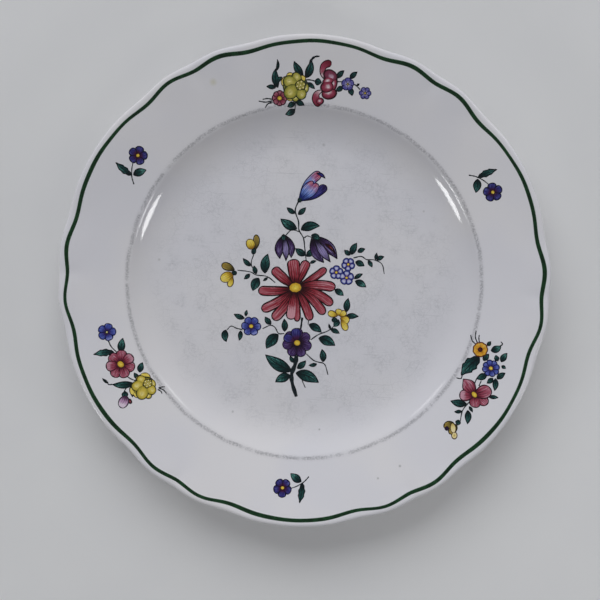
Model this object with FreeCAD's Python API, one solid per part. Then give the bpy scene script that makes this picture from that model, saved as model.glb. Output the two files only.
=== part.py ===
import FreeCAD, Part
import math
import os
from FreeCAD import Vector

# A glazed china dinner plate with a six-lobed edge, a green line round the rim and enamel
# flowers fired on the glaze. Millimetres, +Z up. The origin is the centre of the foot ring's
# standing face, and +Y points at the lobe that carries the top spray.

# ---- plate body: driving dimensions ----
plate_radius = 125.0          # mean radius of the lobed edge
edge_height = 25.5            # height of the rim's upper face at plate_radius
wall = 4.3                    # thickness of the wall everywhere
verge_radius = 90.2           # corner where the rim turns down into the well
verge_height = 16.2
verge_round = 6.0
well_radius = 80.0            # corner where the well's side meets its floor
floor_height = 7.0
well_round = 30.0             # the floor curves up gently into the side
foot_outer = 74.5             # the ring that the plate stands on
foot_inner = 70.5
foot_depth = 3.0              # how far the ring stands below the underside next to it
foot_taper = 0.9
foot_round = 0.9
shoulder_round = 16.0         # the same curve seen from below, outside the foot ring
underfloor_round = 2.0        # and the small one inside the ring
lip_round_top = 1.8
lip_round_under = 1.9

outline_overrun = 4.0         # the outline is drawn past the axis and the edge, then trimmed
lip_search = 3.0              # edges this near the widest one belong to the lip
same_level = 0.5              # and those this near in height are one round edge

# ---- fired layers ----
glaze_thickness = 0.3
bare_foot_height = 0.5        # the foot ring is wiped clean of glaze up to here
enamel_thickness = 0.12
smallest_patch = 0.12         # square millimetres; anything smaller is left out

# ---- lobed edge: waves per turn and height, each with a crest at the middle of every lobe ----
first_lobe = 30               # degrees; the other five follow every 60 degrees
edge_waves = [(6, 0.29), (12, 0.39), (18, 0.04), (24, -0.27), (30, 0.13)]
line_radius = 121.15
line_width = 1.9
line_waves = [(6, 0.30), (12, 0.69), (18, 0.21), (24, -0.51), (30, 0.27)]
angle_step = 2                # degrees between the points of a lobed curve

# ---- decoration ----
fine_stem = 0.5
thick_stem = 1.7
curl_width = 1.2              # the pea flower's two curled tendrils
top_lobe = 90                 # degrees; sprays and sprigs are laid out here and then turned
spray_lobes = {"top": top_lobe, "left": 210, "right": 330}
sprig_angles = [145, 29, 267]
petal_neck = (0.35, 0.55)     # along the petal, and its width there as a share of the widest
petal_widest = 0.78           # where along the petal it is widest
flower_ripple = 0.14          # how deep the notches between a small flower's petals are
points_per_petal = 8
points_per_bend = 3           # a stem's sides take this many points for each of its own
line_limit = 123.3            # the enamel layer reaches this far out
prism_height = 40.0


# ---------------------------------------------------------------- outlines in the r-z plane

def unit(start, end):
    """Direction from one (r, z) point to another."""
    length = math.hypot(end[0] - start[0], end[1] - start[1])
    return ((end[0] - start[0]) / length, (end[1] - start[1]) / length)


def meeting_point(start_a, along_a, start_b, along_b):
    """Where two lines in the r-z plane cross."""
    cross = along_a[0] * along_b[1] - along_a[1] * along_b[0]
    gap = (start_b[0] - start_a[0], start_b[1] - start_a[1])
    reach = (gap[0] * along_b[1] - gap[1] * along_b[0]) / cross
    return (start_a[0] + along_a[0] * reach, start_a[1] + along_a[1] * reach)


def below(start, along):
    """A start point moved one wall thickness square to its line, to the wall's underside."""
    return (start[0] + along[1] * wall, start[1] - along[0] * wall)


def rounded_edges(corners):
    """Straight runs through (r, z, round) corners, joined by tangent arcs."""
    edges = []
    last = Vector(corners[0][0], 0, corners[0][1])
    for before, corner, after in zip(corners, corners[1:], corners[2:]):
        into = unit(before, corner)
        out_of = unit(corner, after)
        turn = math.acos(max(-1.0, min(1.0, into[0] * out_of[0] + into[1] * out_of[1])))
        back = corner[2] * math.tan(turn / 2)
        start = Vector(corner[0] - into[0] * back, 0, corner[1] - into[1] * back)
        end = Vector(corner[0] + out_of[0] * back, 0, corner[1] + out_of[1] * back)
        if back > 0:
            inward = unit((0, 0), (out_of[0] - into[0], out_of[1] - into[1]))
            centre_gap = corner[2] / math.cos(turn / 2)
            sag = centre_gap - corner[2]
            middle = Vector(corner[0] + inward[0] * sag, 0, corner[1] + inward[1] * sag)
            edges.append(Part.LineSegment(last, start).toShape())
            edges.append(Part.Arc(start, middle, end).toShape())
        else:
            edges.append(Part.LineSegment(last, end).toShape())
        last = end
    edges.append(Part.LineSegment(last, Vector(corners[-1][0], 0, corners[-1][1])).toShape())
    return edges


def face_corners(start, reach):
    """The upper face from one radius out to another: floor, well side, verge and rim."""
    rise = (edge_height - verge_height) / (plate_radius - verge_radius)
    return [
        (start, floor_height, 0),
        (well_radius, floor_height, well_round),
        (verge_radius, verge_height, verge_round),
        (reach, verge_height + rise * (reach - verge_radius), 0),
    ]


def underside_corners(start, reach):
    """The underside from the outer radius in to the other: rim, well side, foot ring and floor."""
    well, verge, rim_end = face_corners(start, reach)[1:]
    side = unit(well, verge)
    rim = unit(verge, rim_end)
    side_start = below(well, side)
    rim_start = below(verge, rim)
    under_verge = meeting_point(side_start, side, rim_start, rim)
    rim_edge = meeting_point(rim_start, rim, (reach, 0), (0, 1))
    shoulder = meeting_point(side_start, side, (0, foot_depth + foot_taper / 2), (1, 0))
    return [
        (rim_edge[0], rim_edge[1], 0),
        (under_verge[0], under_verge[1], verge_round - wall / 2),
        (shoulder[0], shoulder[1], shoulder_round),
        (foot_outer + foot_taper, foot_depth, foot_round),
        (foot_outer, 0, foot_round),
        (foot_inner, 0, foot_round),
        (foot_inner - foot_taper, floor_height - wall, underfloor_round),
        (start, floor_height - wall, 0),
    ]


# ---------------------------------------------------------------- the body and its glaze

def lobed_wire(mean, waves):
    """A closed curve round the Z axis whose radius rises and falls with the lobes."""
    points = []
    for degrees in range(0, 360, angle_step):
        turn = math.radians(degrees - first_lobe)
        radius = mean + sum(height * math.cos(count * turn) for count, height in waves)
        place = math.radians(degrees)
        points.append(Vector(radius * math.cos(place), radius * math.sin(place), 0))
    curve = Part.BSplineCurve()
    curve.interpolate(Points=points, PeriodicFlag=True)
    return Part.Wire(curve.toShape())


def dish(inset):
    """The whole plate as one solid, with every face moved inwards by the inset."""
    reach = plate_radius + outline_overrun
    top = rounded_edges(face_corners(-outline_overrun, reach))
    under = rounded_edges(underside_corners(-outline_overrun, reach))
    outer = Part.LineSegment(top[-1].Vertexes[-1].Point, under[0].Vertexes[0].Point).toShape()
    inner = Part.LineSegment(under[-1].Vertexes[-1].Point, top[0].Vertexes[0].Point).toShape()
    outline = Part.Face(Part.Wire(top + [outer] + under + [inner]))
    if inset > 0:
        outline = outline.makeOffset2D(-inset)
    square = [(0, -reach), (reach, -reach), (reach, reach), (0, reach), (0, -reach)]
    beside_axis = Part.Face(Part.makePolygon([Vector(x, 0, z) for x, z in square]))
    half = outline.common(beside_axis).Faces[0]
    solid = half.revolve(Vector(0, 0, 0), Vector(0, 0, 1), 360).Solids[0]
    edge = Part.Face(lobed_wire(plate_radius - inset, edge_waves)).extrude(Vector(0, 0, prism_height))
    edge.translate(Vector(0, 0, -outline_overrun))
    trimmed = solid.common(edge).Solids[0]
    return round_lip(trimmed, lip_round_top - inset, lip_round_under - inset)


def round_lip(solid, round_top, round_under):
    """Rounds the two edges that the lobed cut leaves on the rim."""
    for radius, pick in ((round_top, max), (round_under, min)):
        widest = max(edge.BoundBox.XLength for edge in solid.Edges)
        rims = [edge for edge in solid.Edges if edge.BoundBox.XLength > widest - lip_search]
        level = pick(edge.BoundBox.Center.z for edge in rims)
        chosen = [edge for edge in rims if abs(edge.BoundBox.Center.z - level) < same_level]
        solid = solid.makeFillet(radius, chosen).Solids[0]
    return solid


def china_and_glaze():
    """The biscuit body, bare on its foot ring, and the glaze that wraps the rest of it."""
    glazed = dish(0)
    biscuit = dish(glaze_thickness)
    slab = Part.makeCylinder(plate_radius, bare_foot_height)
    body = biscuit.fuse(glazed.common(slab)).removeSplitter()
    return body, glazed.cut(body)


# ---------------------------------------------------------------- flat shapes of the painting

def polar(centre, angle, distance):
    """A point at an angle in degrees and a distance from a centre."""
    turn = math.radians(angle)
    return Vector(centre[0] + distance * math.cos(turn), centre[1] + distance * math.sin(turn), 0)


def spline_face(points):
    """A face inside a smooth closed curve that starts and ends in a point."""
    curve = Part.BSplineCurve()
    curve.interpolate(Points=points + [points[0]])
    return Part.Face(Part.Wire(curve.toShape()))


def leaf(base_x, base_y, tip_x, tip_y, width):
    """A lens between two arcs, pointed at both ends."""
    base = Vector(base_x, base_y, 0)
    tip = Vector(tip_x, tip_y, 0)
    across = (tip - base).cross(Vector(0, 0, 1)).normalize() * (width / 2)
    middle = (base + tip) * 0.5
    left = Part.Arc(base, middle - across, tip).toShape()
    right = Part.Arc(tip, middle + across, base).toShape()
    return Part.Face(Part.Wire([left, right]))


def petal(base_x, base_y, tip_x, tip_y, width):
    """Pointed at its base and broad and round towards its tip."""
    base = Vector(base_x, base_y, 0)
    along = Vector(tip_x, tip_y, 0) - base
    across = along.cross(Vector(0, 0, 1)).normalize() * (width / 2)
    neck_at, neck_width = petal_neck
    return spline_face([
        base,
        base + along * neck_at + across * neck_width,
        base + along * petal_widest + across,
        base + along,
        base + along * petal_widest - across,
        base + along * neck_at - across * neck_width,
    ])


def disc(x, y, radius):
    """A round patch."""
    return Part.Face(Part.Wire(Part.makeCircle(radius, Vector(x, y, 0))))


def oval(x, y, half_long, half_wide, angle):
    """An oval patch with its long way at an angle in degrees."""
    ellipse = Part.Ellipse(Vector(0, 0, 0), half_long, half_wide).toShape()
    ellipse.rotate(Vector(0, 0, 0), Vector(0, 0, 1), angle)
    ellipse.translate(Vector(x, y, 0))
    return Part.Face(Part.Wire(ellipse))


def rosette(x, y, radius, petals, angle):
    """The round-lobed outline of a small flower, its first petal at an angle."""
    curve = Part.BSplineCurve()
    steps = petals * points_per_petal
    points = []
    for step in range(steps):
        turn = 360.0 * step / steps
        swell = 1 - flower_ripple * (1 - math.cos(math.radians(petals * turn)))
        points.append(polar((x, y), angle + turn, radius * swell))
    curve.interpolate(Points=points, PeriodicFlag=True)
    return Part.Face(Part.Wire(curve.toShape()))


def stroke(points, width):
    """A stem: a smooth line through the points, with square ends."""
    line = Part.BSplineCurve()
    line.interpolate(Points=[Vector(x, y, 0) for x, y in points])
    first, last = line.FirstParameter, line.LastParameter
    count = points_per_bend * len(points)
    sides = ([], [])
    for step in range(count + 1):
        place = first + (last - first) * step / count
        across = line.tangent(place)[0].cross(Vector(0, 0, 1)) * (width / 2)
        sides[0].append(line.value(place) + across)
        sides[1].append(line.value(place) - across)
    left = Part.BSplineCurve()
    left.interpolate(Points=sides[0])
    right = Part.BSplineCurve()
    right.interpolate(Points=sides[1][::-1])
    end = Part.LineSegment(sides[0][-1], sides[1][-1]).toShape()
    start = Part.LineSegment(sides[1][0], sides[0][0]).toShape()
    return Part.Face(Part.Wire([left.toShape(), end, right.toShape(), start]))


def strokes(lines, width):
    """Several stems of one width."""
    return [stroke(points, width) for points in lines]


def leaves(rows):
    """Several leaves, each (base x, base y, tip x, tip y, width)."""
    return [leaf(*row) for row in rows]


# ---------------------------------------------------------------- the centre bouquet

def centre_bouquet():
    """Patches of the bouquet in the well, in the order in which they lie on top of each other."""
    daisy_centre = (-4.5, -3.0)
    daisy_tips = [
        (-7, 11.5), (0, 11), (11, 8), (17, -1.5), (16, -11), (11.5, -16), (5.5, -19.5),
        (-0.5, -20.5), (-5.5, -20), (-15, -21), (-22, -16), (-24, -5), (-17.5, 6.5),
    ]
    eyes = [
        disc(-26.5, -24.5, 1.1), disc(-2, -32, 1.6), disc(16.5, 6, 0.8), disc(22.5, 10.5, 0.8),
        disc(22, 3.5, 0.8),
    ]
    return [
        ("daisy_eye", [oval(daisy_centre[0], daisy_centre[1], 3.4, 2.7, 0)]),
        ("flower_eyes", eyes),
        ("daisy_petals", [petal(*daisy_centre, x, y, 5.6) for x, y in daisy_tips]),
        ("tulip", [
            petal(-4, 42.5, 3.5, 51.5, 6.8), petal(-4.5, 42.5, 6, 57, 5.4),
            petal(-4, 42.5, 8.5, 50.5, 4.8), disc(-4.2, 42.7, 1.3),
        ]),
        ("left_bellflower", [petal(-12, 23, -12.5, 11.5, 5), petal(-12, 23, -9.8, 12.5, 5),
                             petal(-12, 23, -7.5, 14.5, 5), disc(-11.8, 22.5, 1.5)]),
        ("right_bellflower", [petal(3, 23, 9.8, 11.5, 5), petal(3, 23, 12.5, 12.5, 5.4),
                              petal(3, 23, 15.8, 15, 5), disc(3.6, 22.5, 1.6)]),
        ("forget_me_nots", [
            rosette(16.5, 6, 3.7, 5, 90), rosette(22.5, 10.5, 3.6, 5, 54), rosette(22, 3.5, 3.9, 5, 18),
        ]),
        ("blue_flower", [rosette(-26.5, -24.5, 5, 6, 0)]),
        ("purple_flower", [rosette(-2, -32, 7.6, 7, 90)]),
        ("buttercup", [
            oval(16.5, -16, 2.8, 1.7, 10), oval(20.2, -15.3, 2.6, 1.9, 0), oval(22.2, -19.2, 2.4, 2, 0),
            oval(22.8, -22, 2.4, 1.6, 120),
        ]),
        ("yellow_buds", [
            oval(-28.5, 18.6, 2.8, 2.6, 90), oval(-26.6, 20.6, 2.9, 1.5, 80),
            oval(-41, 6, 3.3, 2.2, 160), oval(-41.2, 0.6, 3.6, 2.8, 20), oval(-38.2, -2.2, 2.6, 1.7, 60),
            disc(-27, 14.8, 1.7), disc(-36.6, 3, 1.5),
        ]),
        ("centre_leaves", leaves([
            (-6.5, 35.5, -11, 38.5, 2.7), (-5, 35, -1, 39, 2.9), (-5, 27.5, -14, 32.5, 5),
            (-3, 27, 6.5, 30.5, 5), (0, 14, -5.5, 17.5, 3.8), (0.5, 13.5, 4.5, 18, 3.5),
            (2.5, 10, 6, 11.5, 1.8), (-20.5, 3.5, -19.5, 14, 5.1), (-28, 7, -32.5, 11, 2.7),
            (-25, 3, -26.5, 7.5, 2.7), (-28.5, 3, -31.5, 0, 2.4), (-23.5, 1, -26.5, -6, 5),
            (-19, 1.5, -21.5, -0.5, 1.6), (23.5, 15.5, 20, 18, 2.7), (24, 15.5, 26.5, 22, 3.7),
            (27, 17, 31, 19, 2.7), (26, 12, 31, 10, 3.4), (32.5, 13, 35, 9.5, 2.4),
            (36.5, 13.5, 37, 17.5, 1.9), (37, 13.5, 41, 15.5, 2.6), (26, 3, 30.5, 6, 2.4),
            (26.4, 2, 32.5, -1, 3.8), (16, -3, 21, -6, 3.5), (23, -14.5, 23.5, -7, 3.7),
            (22.5, -17, 29.5, -16.5, 3.2), (19, -18.5, 16.5, -22.5, 3.5), (15, -24, 20, -26, 2.7),
            (15, -24, 14, -21, 1.4), (3.5, -22, 10.5, -26, 4.2), (9, -29, 18, -32.5, 5.4),
            (12, -41.5, 11, -34.5, 3.7), (9, -42.5, 4.5, -43.5, 2.2), (-30, -20.5, -36, -18.5, 2.9),
            (-29.5, -19.5, -29, -16, 1.9), (-39.5, -27, -39, -33.5, 3.8), (-32, -27, -32.5, -32.5, 2.6),
            (-16, -23, -19.5, -19, 3.2), (-9, -26.5, -9.5, -19.5, 3.5), (-12, -28, -18, -36, 5.9),
            (-3, -42.5, -5.5, -39, 2.4), (-1.5, -45.5, 3, -41, 3.5), (-4, -47, -18.5, -39, 6.7),
            (-4.5, -49.5, -12.5, -53.5, 5), (-2, -48, 10.5, -52.5, 6.3),
        ])),
        ("centre_stems", strokes([
            [(-5, 42), (-6.5, 37), (-4.5, 31.5), (-4, 27), (-1.5, 23), (-0.5, 17.5), (0.5, 12)],
            [(-4, 26), (-8, 26.5), (-11.5, 23)],
            [(-1, 23), (0.5, 24), (2.5, 23.5)],
            [(-15, -1), (-19.5, 2), (-25, 2.5), (-28.5, 4), (-35, 4.5)],
            [(-25, 3), (-28, 8), (-27, 13)],
            [(25, 14), (29, 15), (32, 13.5), (36, 13.5), (40, 11.5), (41.5, 6.5)],
            [(-9, -27.5), (-12, -27.5), (-14, -24.5), (-16.5, -23.5), (-20.5, -25.5)],
            [(-31, -26.5), (-34, -26), (-37, -25), (-39, -27)],
            [(5, -30), (9, -27), (13.5, -25), (16.5, -22.5), (19, -19.5)],
            [(3, -37.5), (7.5, -41), (12, -42), (13.5, -43.5), (15, -48)],
            [(1, -49), (2, -52.5), (3.5, -55.5)],
            [(0, -18.5), (-0.5, -24.5)],
        ], fine_stem) + [
            stroke([(-2, -38.5), (-2.5, -43.5), (-4, -48.5), (-3.5, -53.5), (-1, -60.5)], thick_stem),
        ]),
    ]


# ---------------------------------------------------------------- the three rim sprays
# Each is laid out with x across the lobe, clockwise, and y straight out from the plate's axis.

def top_spray():
    """Yellow rose, red daisy, red pea flower and two blue flowers."""
    return [
        ("rose", [disc(-9.5, 99, 5.9)]),
        ("daisy", [rosette(-17, 93.5, 3.8, 12, 0)]),
        ("pea_flower", [
            oval(7.5, 102.5, 6.8, 3.8, 96), oval(5.6, 111.3, 2.6, 2.1, 0), oval(2.6, 94.2, 2.8, 2.4, 20),
            stroke([(3.2, 105), (2.6, 108.5), (4.5, 112)], curl_width),
            stroke([(3.5, 99.5), (1, 97), (0.8, 94)], curl_width),
        ]),
        ("blue_flowers", [rosette(17, 102, 2.8, 5, 90), rosette(26, 98, 2.9, 6, 0)]),
        ("leaves", leaves([
            (-18, 98.5, -19.5, 108, 3.6), (-19.5, 107, -19.2, 112, 1.6), (-19.5, 101, -16, 104, 2.6),
            (-19, 98.5, -24, 98.5, 2.5), (-5.5, 105, -10.5, 112, 3.6), (-4.5, 104, -2, 112.5, 4.2),
            (-3.5, 101.5, 0.5, 99, 2.3), (11.5, 104.5, 15, 108.5, 2.9), (18, 104.5, 21.5, 108, 2.6),
            (14.5, 101, 11, 98.5, 2.6), (17.5, 100, 19.5, 96.5, 2.9), (21.5, 101.5, 23, 102.5, 1.3),
            (-9.5, 92, -13, 89.5, 2.9), (-9, 92, -4.5, 90.5, 2.9), (-9, 88.5, -14, 86, 3.1),
        ]) + [disc(2, 102.5, 1.9)]),
        ("stems", strokes([
            [(-2.6, 111), (-1, 114), (1.5, 115)],
            [(-20.5, 92.7), (-23, 93), (-25.5, 92.5)],
            [(-20.5, 92), (-24, 91.2), (-27.5, 91.5)],
            [(-20.5, 91.2), (-22.8, 90.4), (-24, 88.5)],
            [(-5, 103), (-2, 103.2), (0.5, 102.7)],
            [(11, 103), (14, 103)],
            [(19, 102), (21, 101.7), (23, 99.8)],
            [(-9, 92.6), (-9, 88.3)],
        ], fine_stem)),
    ]


def left_spray():
    """Blue flower, red flower, yellow rose and a mauve bud."""
    return [
        ("rose", [disc(-10, 95.5, 5.6), petal(-8, 97, -5.2, 101.5, 5.5), petal(-9, 95, -4.5, 94, 5)]),
        ("red_flower", [rosette(6, 103, 7.3, 7, 20)]),
        ("blue_flower", [rosette(24, 101.5, 4.3, 5, 0)]),
        ("bud", [oval(-11.8, 110.5, 3.2, 2.8, 120), oval(-13, 107.6, 1.8, 1.1, 100)]),
        ("leaves", leaves([
            (11, 100, 17.5, 96, 3.9), (13, 103, 17, 112.5, 3.9), (-2.5, 96.5, 1.5, 93, 3.3),
            (-5, 98.5, -1, 99, 2.3), (-6, 101.5, -1, 111.5, 3.9), (0.2, 112.6, 4, 114, 1.4),
            (-6, 103.5, -12, 105.5, 2.9), (-7.5, 107.5, -10.5, 109, 3.4),
        ])),
        ("stems", strokes([
            [(19.8, 102.8), (16.5, 103), (12, 101.8)],
            [(0, 103.5), (-3, 102), (-5.5, 100)],
            [(-5.5, 103.5), (-6.2, 106), (-7.5, 108)],
            [(-1.2, 111.2), (-0.4, 112.8), (0.8, 113)],
            [(-14, 91.8), (-14.4, 90.2), (-15, 88.8)],
            [(-14.2, 91.8), (-16, 90.2), (-18.5, 89.5)],
            [(-14.5, 92.5), (-16, 91.6), (-17.5, 91.5)],
        ], fine_stem)),
    ]


def right_spray():
    """Orange daisy, blue flower, red flower and a cream pea bud."""
    return [
        ("daisy", [disc(-21, 94.5, 3.8)]),
        ("blue_flower", [rosette(-16, 104, 4.5, 8, 0)]),
        ("red_flower", [
            petal(0, 104.5, -3.5, 96, 6.2), petal(0, 104.5, -7, 109.3, 6), petal(0, 104.5, 4, 98.8, 5.6),
            petal(0, 104.5, 5, 107.8, 6), petal(0, 104.5, 0.5, 112.3, 6), disc(0, 104.5, 2.6),
        ]),
        ("bud", [oval(20.3, 101.8, 3.3, 2.6, 60), oval(20.6, 104.6, 3.4, 1.6, 70), disc(22.8, 107, 1.9),
                 disc(22.2, 102.4, 1.3)]),
        ("leaves", leaves([
            (-24.5, 96.5, -27.5, 96.5, 2.1), (-23.5, 99, -28.5, 101.8, 3.6), (-21.5, 106.5, -27, 106.5, 3.2),
            (-20, 107.5, -20, 110, 1.9), (-13, 109.5, -18, 111, 3), (-13, 108.5, -7.5, 111.5, 3),
            (-21, 105, -23, 102.5, 2.5), (-17, 99, -21.5, 99.3, 3), (-12.5, 107.5, -8.5, 106.5, 2.5),
            (-12.5, 104, -7.5, 101, 3.4), (-17.5, 96.5, -4.5, 94, 7.4), (6, 104, 9.5, 96.5, 4),
            (10.5, 104, 13, 101, 1.9), (8.5, 106, 14.5, 109.5, 3.4), (6.5, 105.5, 8, 108.5, 1.7),
            (-3, 111, -5.5, 115, 2.2),
        ]) + [disc(16.7, 105.4, 1.5)]),
        ("stems", strokes([
            [(-22, 91), (-22.6, 88.6), (-24.5, 86.5)],
            [(-23.2, 91.2), (-25, 89), (-28, 87.5)],
            [(-24, 92), (-25.4, 90.8), (-27, 90)],
            [(-28, 101.5), (-29.6, 102), (-30.2, 100.6)],
            [(-4.8, 94.2), (-3, 94.6), (-2, 92.5)],
            [(-5, 101.5), (-8, 101)],
            [(-5, 104), (-8, 103.5)],
            [(4, 104.5), (10, 104), (15.5, 106)],
        ], fine_stem)),
    ]


def sprig():
    """A single blue flower on a stalk with two leaves, laid out below the middle of a lobe."""
    return [
        ("flowers", [rosette(0, 106.5, 4.6, 6, 20)]),
        ("leaves", leaves([(-10, 103, -9.5, 113, 3.9), (-9.5, 102.5, -3.5, 99, 4)])),
        ("stems", strokes([[(-4.4, 106.3), (-7.5, 104.8), (-10.5, 102.6), (-11.6, 101.4), (-13, 99.5)]],
                          fine_stem)),
    ]


# ---------------------------------------------------------------- from painting to fired enamel

def turned(faces, angle):
    """Flat faces turned about the plate's axis."""
    moved = []
    for face in faces:
        copy = face.copy()
        copy.rotate(Vector(0, 0, 0), Vector(0, 0, 1), angle)
        moved.append(copy)
    return moved


def decoration():
    """Every enamel node as (name, flat faces), the topmost ones first."""
    nodes = centre_bouquet()
    for side, spray in (("top", top_spray()), ("left", left_spray()), ("right", right_spray())):
        for name, faces in spray:
            nodes.append((side + "_spray_" + name, turned(faces, spray_lobes[side] - top_lobe)))
    for name, faces in sprig():
        copies = []
        for angle in sprig_angles:
            copies += turned(faces, angle - top_lobe)
        nodes.append(("sprig_" + name, copies))
    return nodes


def joined(faces):
    """One region from overlapping faces."""
    region = faces[0].multiFuse(faces[1:]) if len(faces) > 1 else faces[0]
    return region.removeSplitter()


def separate_regions(nodes):
    """Cuts away from each node what lies under the nodes before it."""
    above = []
    regions = []
    for name, faces in nodes:
        region = joined(faces)
        near = [other for other in above if other.BoundBox.intersect(region.BoundBox)]
        if near:
            region = region.cut(near)
        above.append(joined(faces))
        regions.append((name, [face for face in region.Faces if face.Area > smallest_patch]))
    return regions


def enamel_layer():
    """The thin space just above the glaze, in which all the enamel lies."""
    lower = rounded_edges(face_corners(0, line_limit))
    lift = Vector(0, 0, enamel_thickness)
    upper = [edge.translated(lift) for edge in lower]
    ends = []
    for edge, index in ((lower[0], 0), (lower[-1], -1)):
        foot = edge.Vertexes[index].Point
        ends.append(Part.LineSegment(foot, foot + lift).toShape())
    outline = Part.Face(Part.Wire(Part.__sortEdges__(lower + upper + ends)))
    return outline.revolve(Vector(0, 0, 0), Vector(0, 0, 1), 360)


def fired(faces, layer):
    """Enamel solids under flat faces, lying on the glaze."""
    solids = []
    for face in faces:
        prism = face.extrude(Vector(0, 0, prism_height))
        solids += prism.common(layer).Solids
    return Part.Compound(solids)


def rim_line():
    """The flat ring of the painted line that follows the lobed edge."""
    outer = Part.Face(lobed_wire(line_radius + line_width / 2, line_waves))
    inner = Part.Face(lobed_wire(line_radius - line_width / 2, line_waves))
    return outer.cut(inner).Faces


def build():
    """Every node's shape by name."""
    body, glaze = china_and_glaze()
    layer = enamel_layer()
    shapes = {"china_body": body, "glaze_coat": glaze, "rim_line": fired(rim_line(), layer)}
    for name, faces in separate_regions(decoration()):
        shapes[name] = fired(faces, layer)
    return shapes


os.makedirs("parts", exist_ok=True)
for name, shape in build().items():
    print(name, shape.isValid(), len(shape.Solids), round(shape.Volume, 2))
    shape.exportStep(os.path.join("parts", name + ".step"))
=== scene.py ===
import math
import bmesh
import bpy
import numpy as np
from mathutils import Matrix, Vector


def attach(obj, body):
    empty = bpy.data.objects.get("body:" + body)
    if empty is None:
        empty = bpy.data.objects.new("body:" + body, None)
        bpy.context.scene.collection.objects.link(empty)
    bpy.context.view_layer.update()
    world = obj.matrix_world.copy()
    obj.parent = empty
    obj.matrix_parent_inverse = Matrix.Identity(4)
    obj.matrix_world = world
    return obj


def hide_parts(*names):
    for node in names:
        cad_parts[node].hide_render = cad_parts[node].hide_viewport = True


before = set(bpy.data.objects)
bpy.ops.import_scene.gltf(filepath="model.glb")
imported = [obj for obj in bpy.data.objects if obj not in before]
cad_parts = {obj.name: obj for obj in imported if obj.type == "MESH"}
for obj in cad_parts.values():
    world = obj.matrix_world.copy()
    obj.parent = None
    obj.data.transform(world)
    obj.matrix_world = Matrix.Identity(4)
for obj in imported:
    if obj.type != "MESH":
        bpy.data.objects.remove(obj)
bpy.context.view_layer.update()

MM = 0.001
random = np.random.RandomState(11)

# ---- the plate, in millimetres, as in the CAD model ----
plate_radius = 125.0
edge_height = 25.5
wall = 4.3
verge_radius, verge_height, verge_round = 90.2, 16.2, 6.0
well_radius, floor_height, well_round = 80.0, 7.0, 30.0
foot_outer, foot_inner, foot_depth, foot_taper, foot_round = 74.5, 70.5, 3.0, 0.9, 0.9
shoulder_round, underfloor_round = 16.0, 2.0
bare_foot_height = 0.5
glaze_on_foot = 0.12                    # the glaze ends this far outside the standing ring
glaze_thickness = 0.26
lobe_angle = 30.0
edge_waves = [(6, 0.29), (12, 0.39), (18, 0.04), (24, -0.27), (30, 0.13)]
line_waves = [(6, 0.30), (12, 0.69), (18, 0.21), (24, -0.51), (30, 0.27)]
line_radius = 121.15
line_width, line_height = 1.9, 0.06
lip_width = 2.9                         # how far in the rounded lip reaches
lobes_start = 106.0                     # inside this radius the plate is round
crease_depth, crease_width = 0.45, 3.2  # the soft folds that run in from the six notches
body_columns, glaze_columns, floor_columns = 480, 400, 240      # points round each turned piece

# ---- the painting ----
fill_height, ink_height = 0.05, 0.035   # how far enamel and pen lines stand above the glaze
stack_step = 0.014                      # each overlapping petal is this much thicker
stack_lift = 0.35                       # and raised by this share of that
edge_share = 0.35                       # a patch is this share of its full height at its edge
edge_round = 0.35                       # and rounds up to it over about this many millimetres
paint_bed = -0.05                       # the underside of every patch lies in the glaze
thinnest = 0.015                        # half width at which a petal's point ends
across_petal = np.array([-1, -0.93, -0.8, -0.55, -0.2, 0.2, 0.55, 0.8, 0.93, 1])
across_curl = np.array([-1, -0.9, -0.7, -0.4, 0, 0.4, 0.7, 0.9, 1])
across_line = np.array([-1, -0.6, 0, 0.6, 1])
out_from_centre = np.array([0.02, 0.25, 0.5, 0.7, 0.84, 0.93, 1.0])
top_lobe, left_lobe, right_lobe = 90, 210, 330     # where the sprays lie, in degrees
sprig_angles = (145, 29, 267)


# ======== the plate's shape

def unit(start, end):
    """Direction from one (r, z) point to another."""
    length = math.hypot(end[0] - start[0], end[1] - start[1])
    return ((end[0] - start[0]) / length, (end[1] - start[1]) / length)


def crossing(start_a, along_a, start_b, along_b):
    """Where two lines in the r-z plane cross."""
    cross = along_a[0] * along_b[1] - along_a[1] * along_b[0]
    gap = (start_b[0] - start_a[0], start_b[1] - start_a[1])
    reach = (gap[0] * along_b[1] - gap[1] * along_b[0]) / cross
    return (start_a[0] + along_a[0] * reach, start_a[1] + along_a[1] * reach)


def rounded(corners, arc_steps=9):
    """Points along straight runs through (r, z, round) corners, with tangent arcs between."""
    points = [corners[0][:2]]
    for before, corner, after in zip(corners, corners[1:], corners[2:]):
        into, out_of = unit(before, corner), unit(corner, after)
        turn = math.acos(max(-1.0, min(1.0, into[0] * out_of[0] + into[1] * out_of[1])))
        side = 1 if into[0] * out_of[1] - into[1] * out_of[0] > 0 else -1
        back = corner[2] * math.tan(turn / 2)
        start = (corner[0] - into[0] * back, corner[1] - into[1] * back)
        for step in range(arc_steps + 1):
            angle = turn * step / arc_steps
            ahead, aside = math.sin(angle) * corner[2], (1 - math.cos(angle)) * corner[2]
            points.append((start[0] + into[0] * ahead - into[1] * side * aside,
                           start[1] + into[1] * ahead + into[0] * side * aside))
    points.append(corners[-1][:2])
    return points


rim_rise = (edge_height - verge_height) / (plate_radius - verge_radius)


def face_corners(reach):
    return [
        (0, floor_height, 0),
        (well_radius, floor_height, well_round),
        (verge_radius, verge_height, verge_round),
        (reach, verge_height + rim_rise * (reach - verge_radius), 0),
    ]


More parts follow.
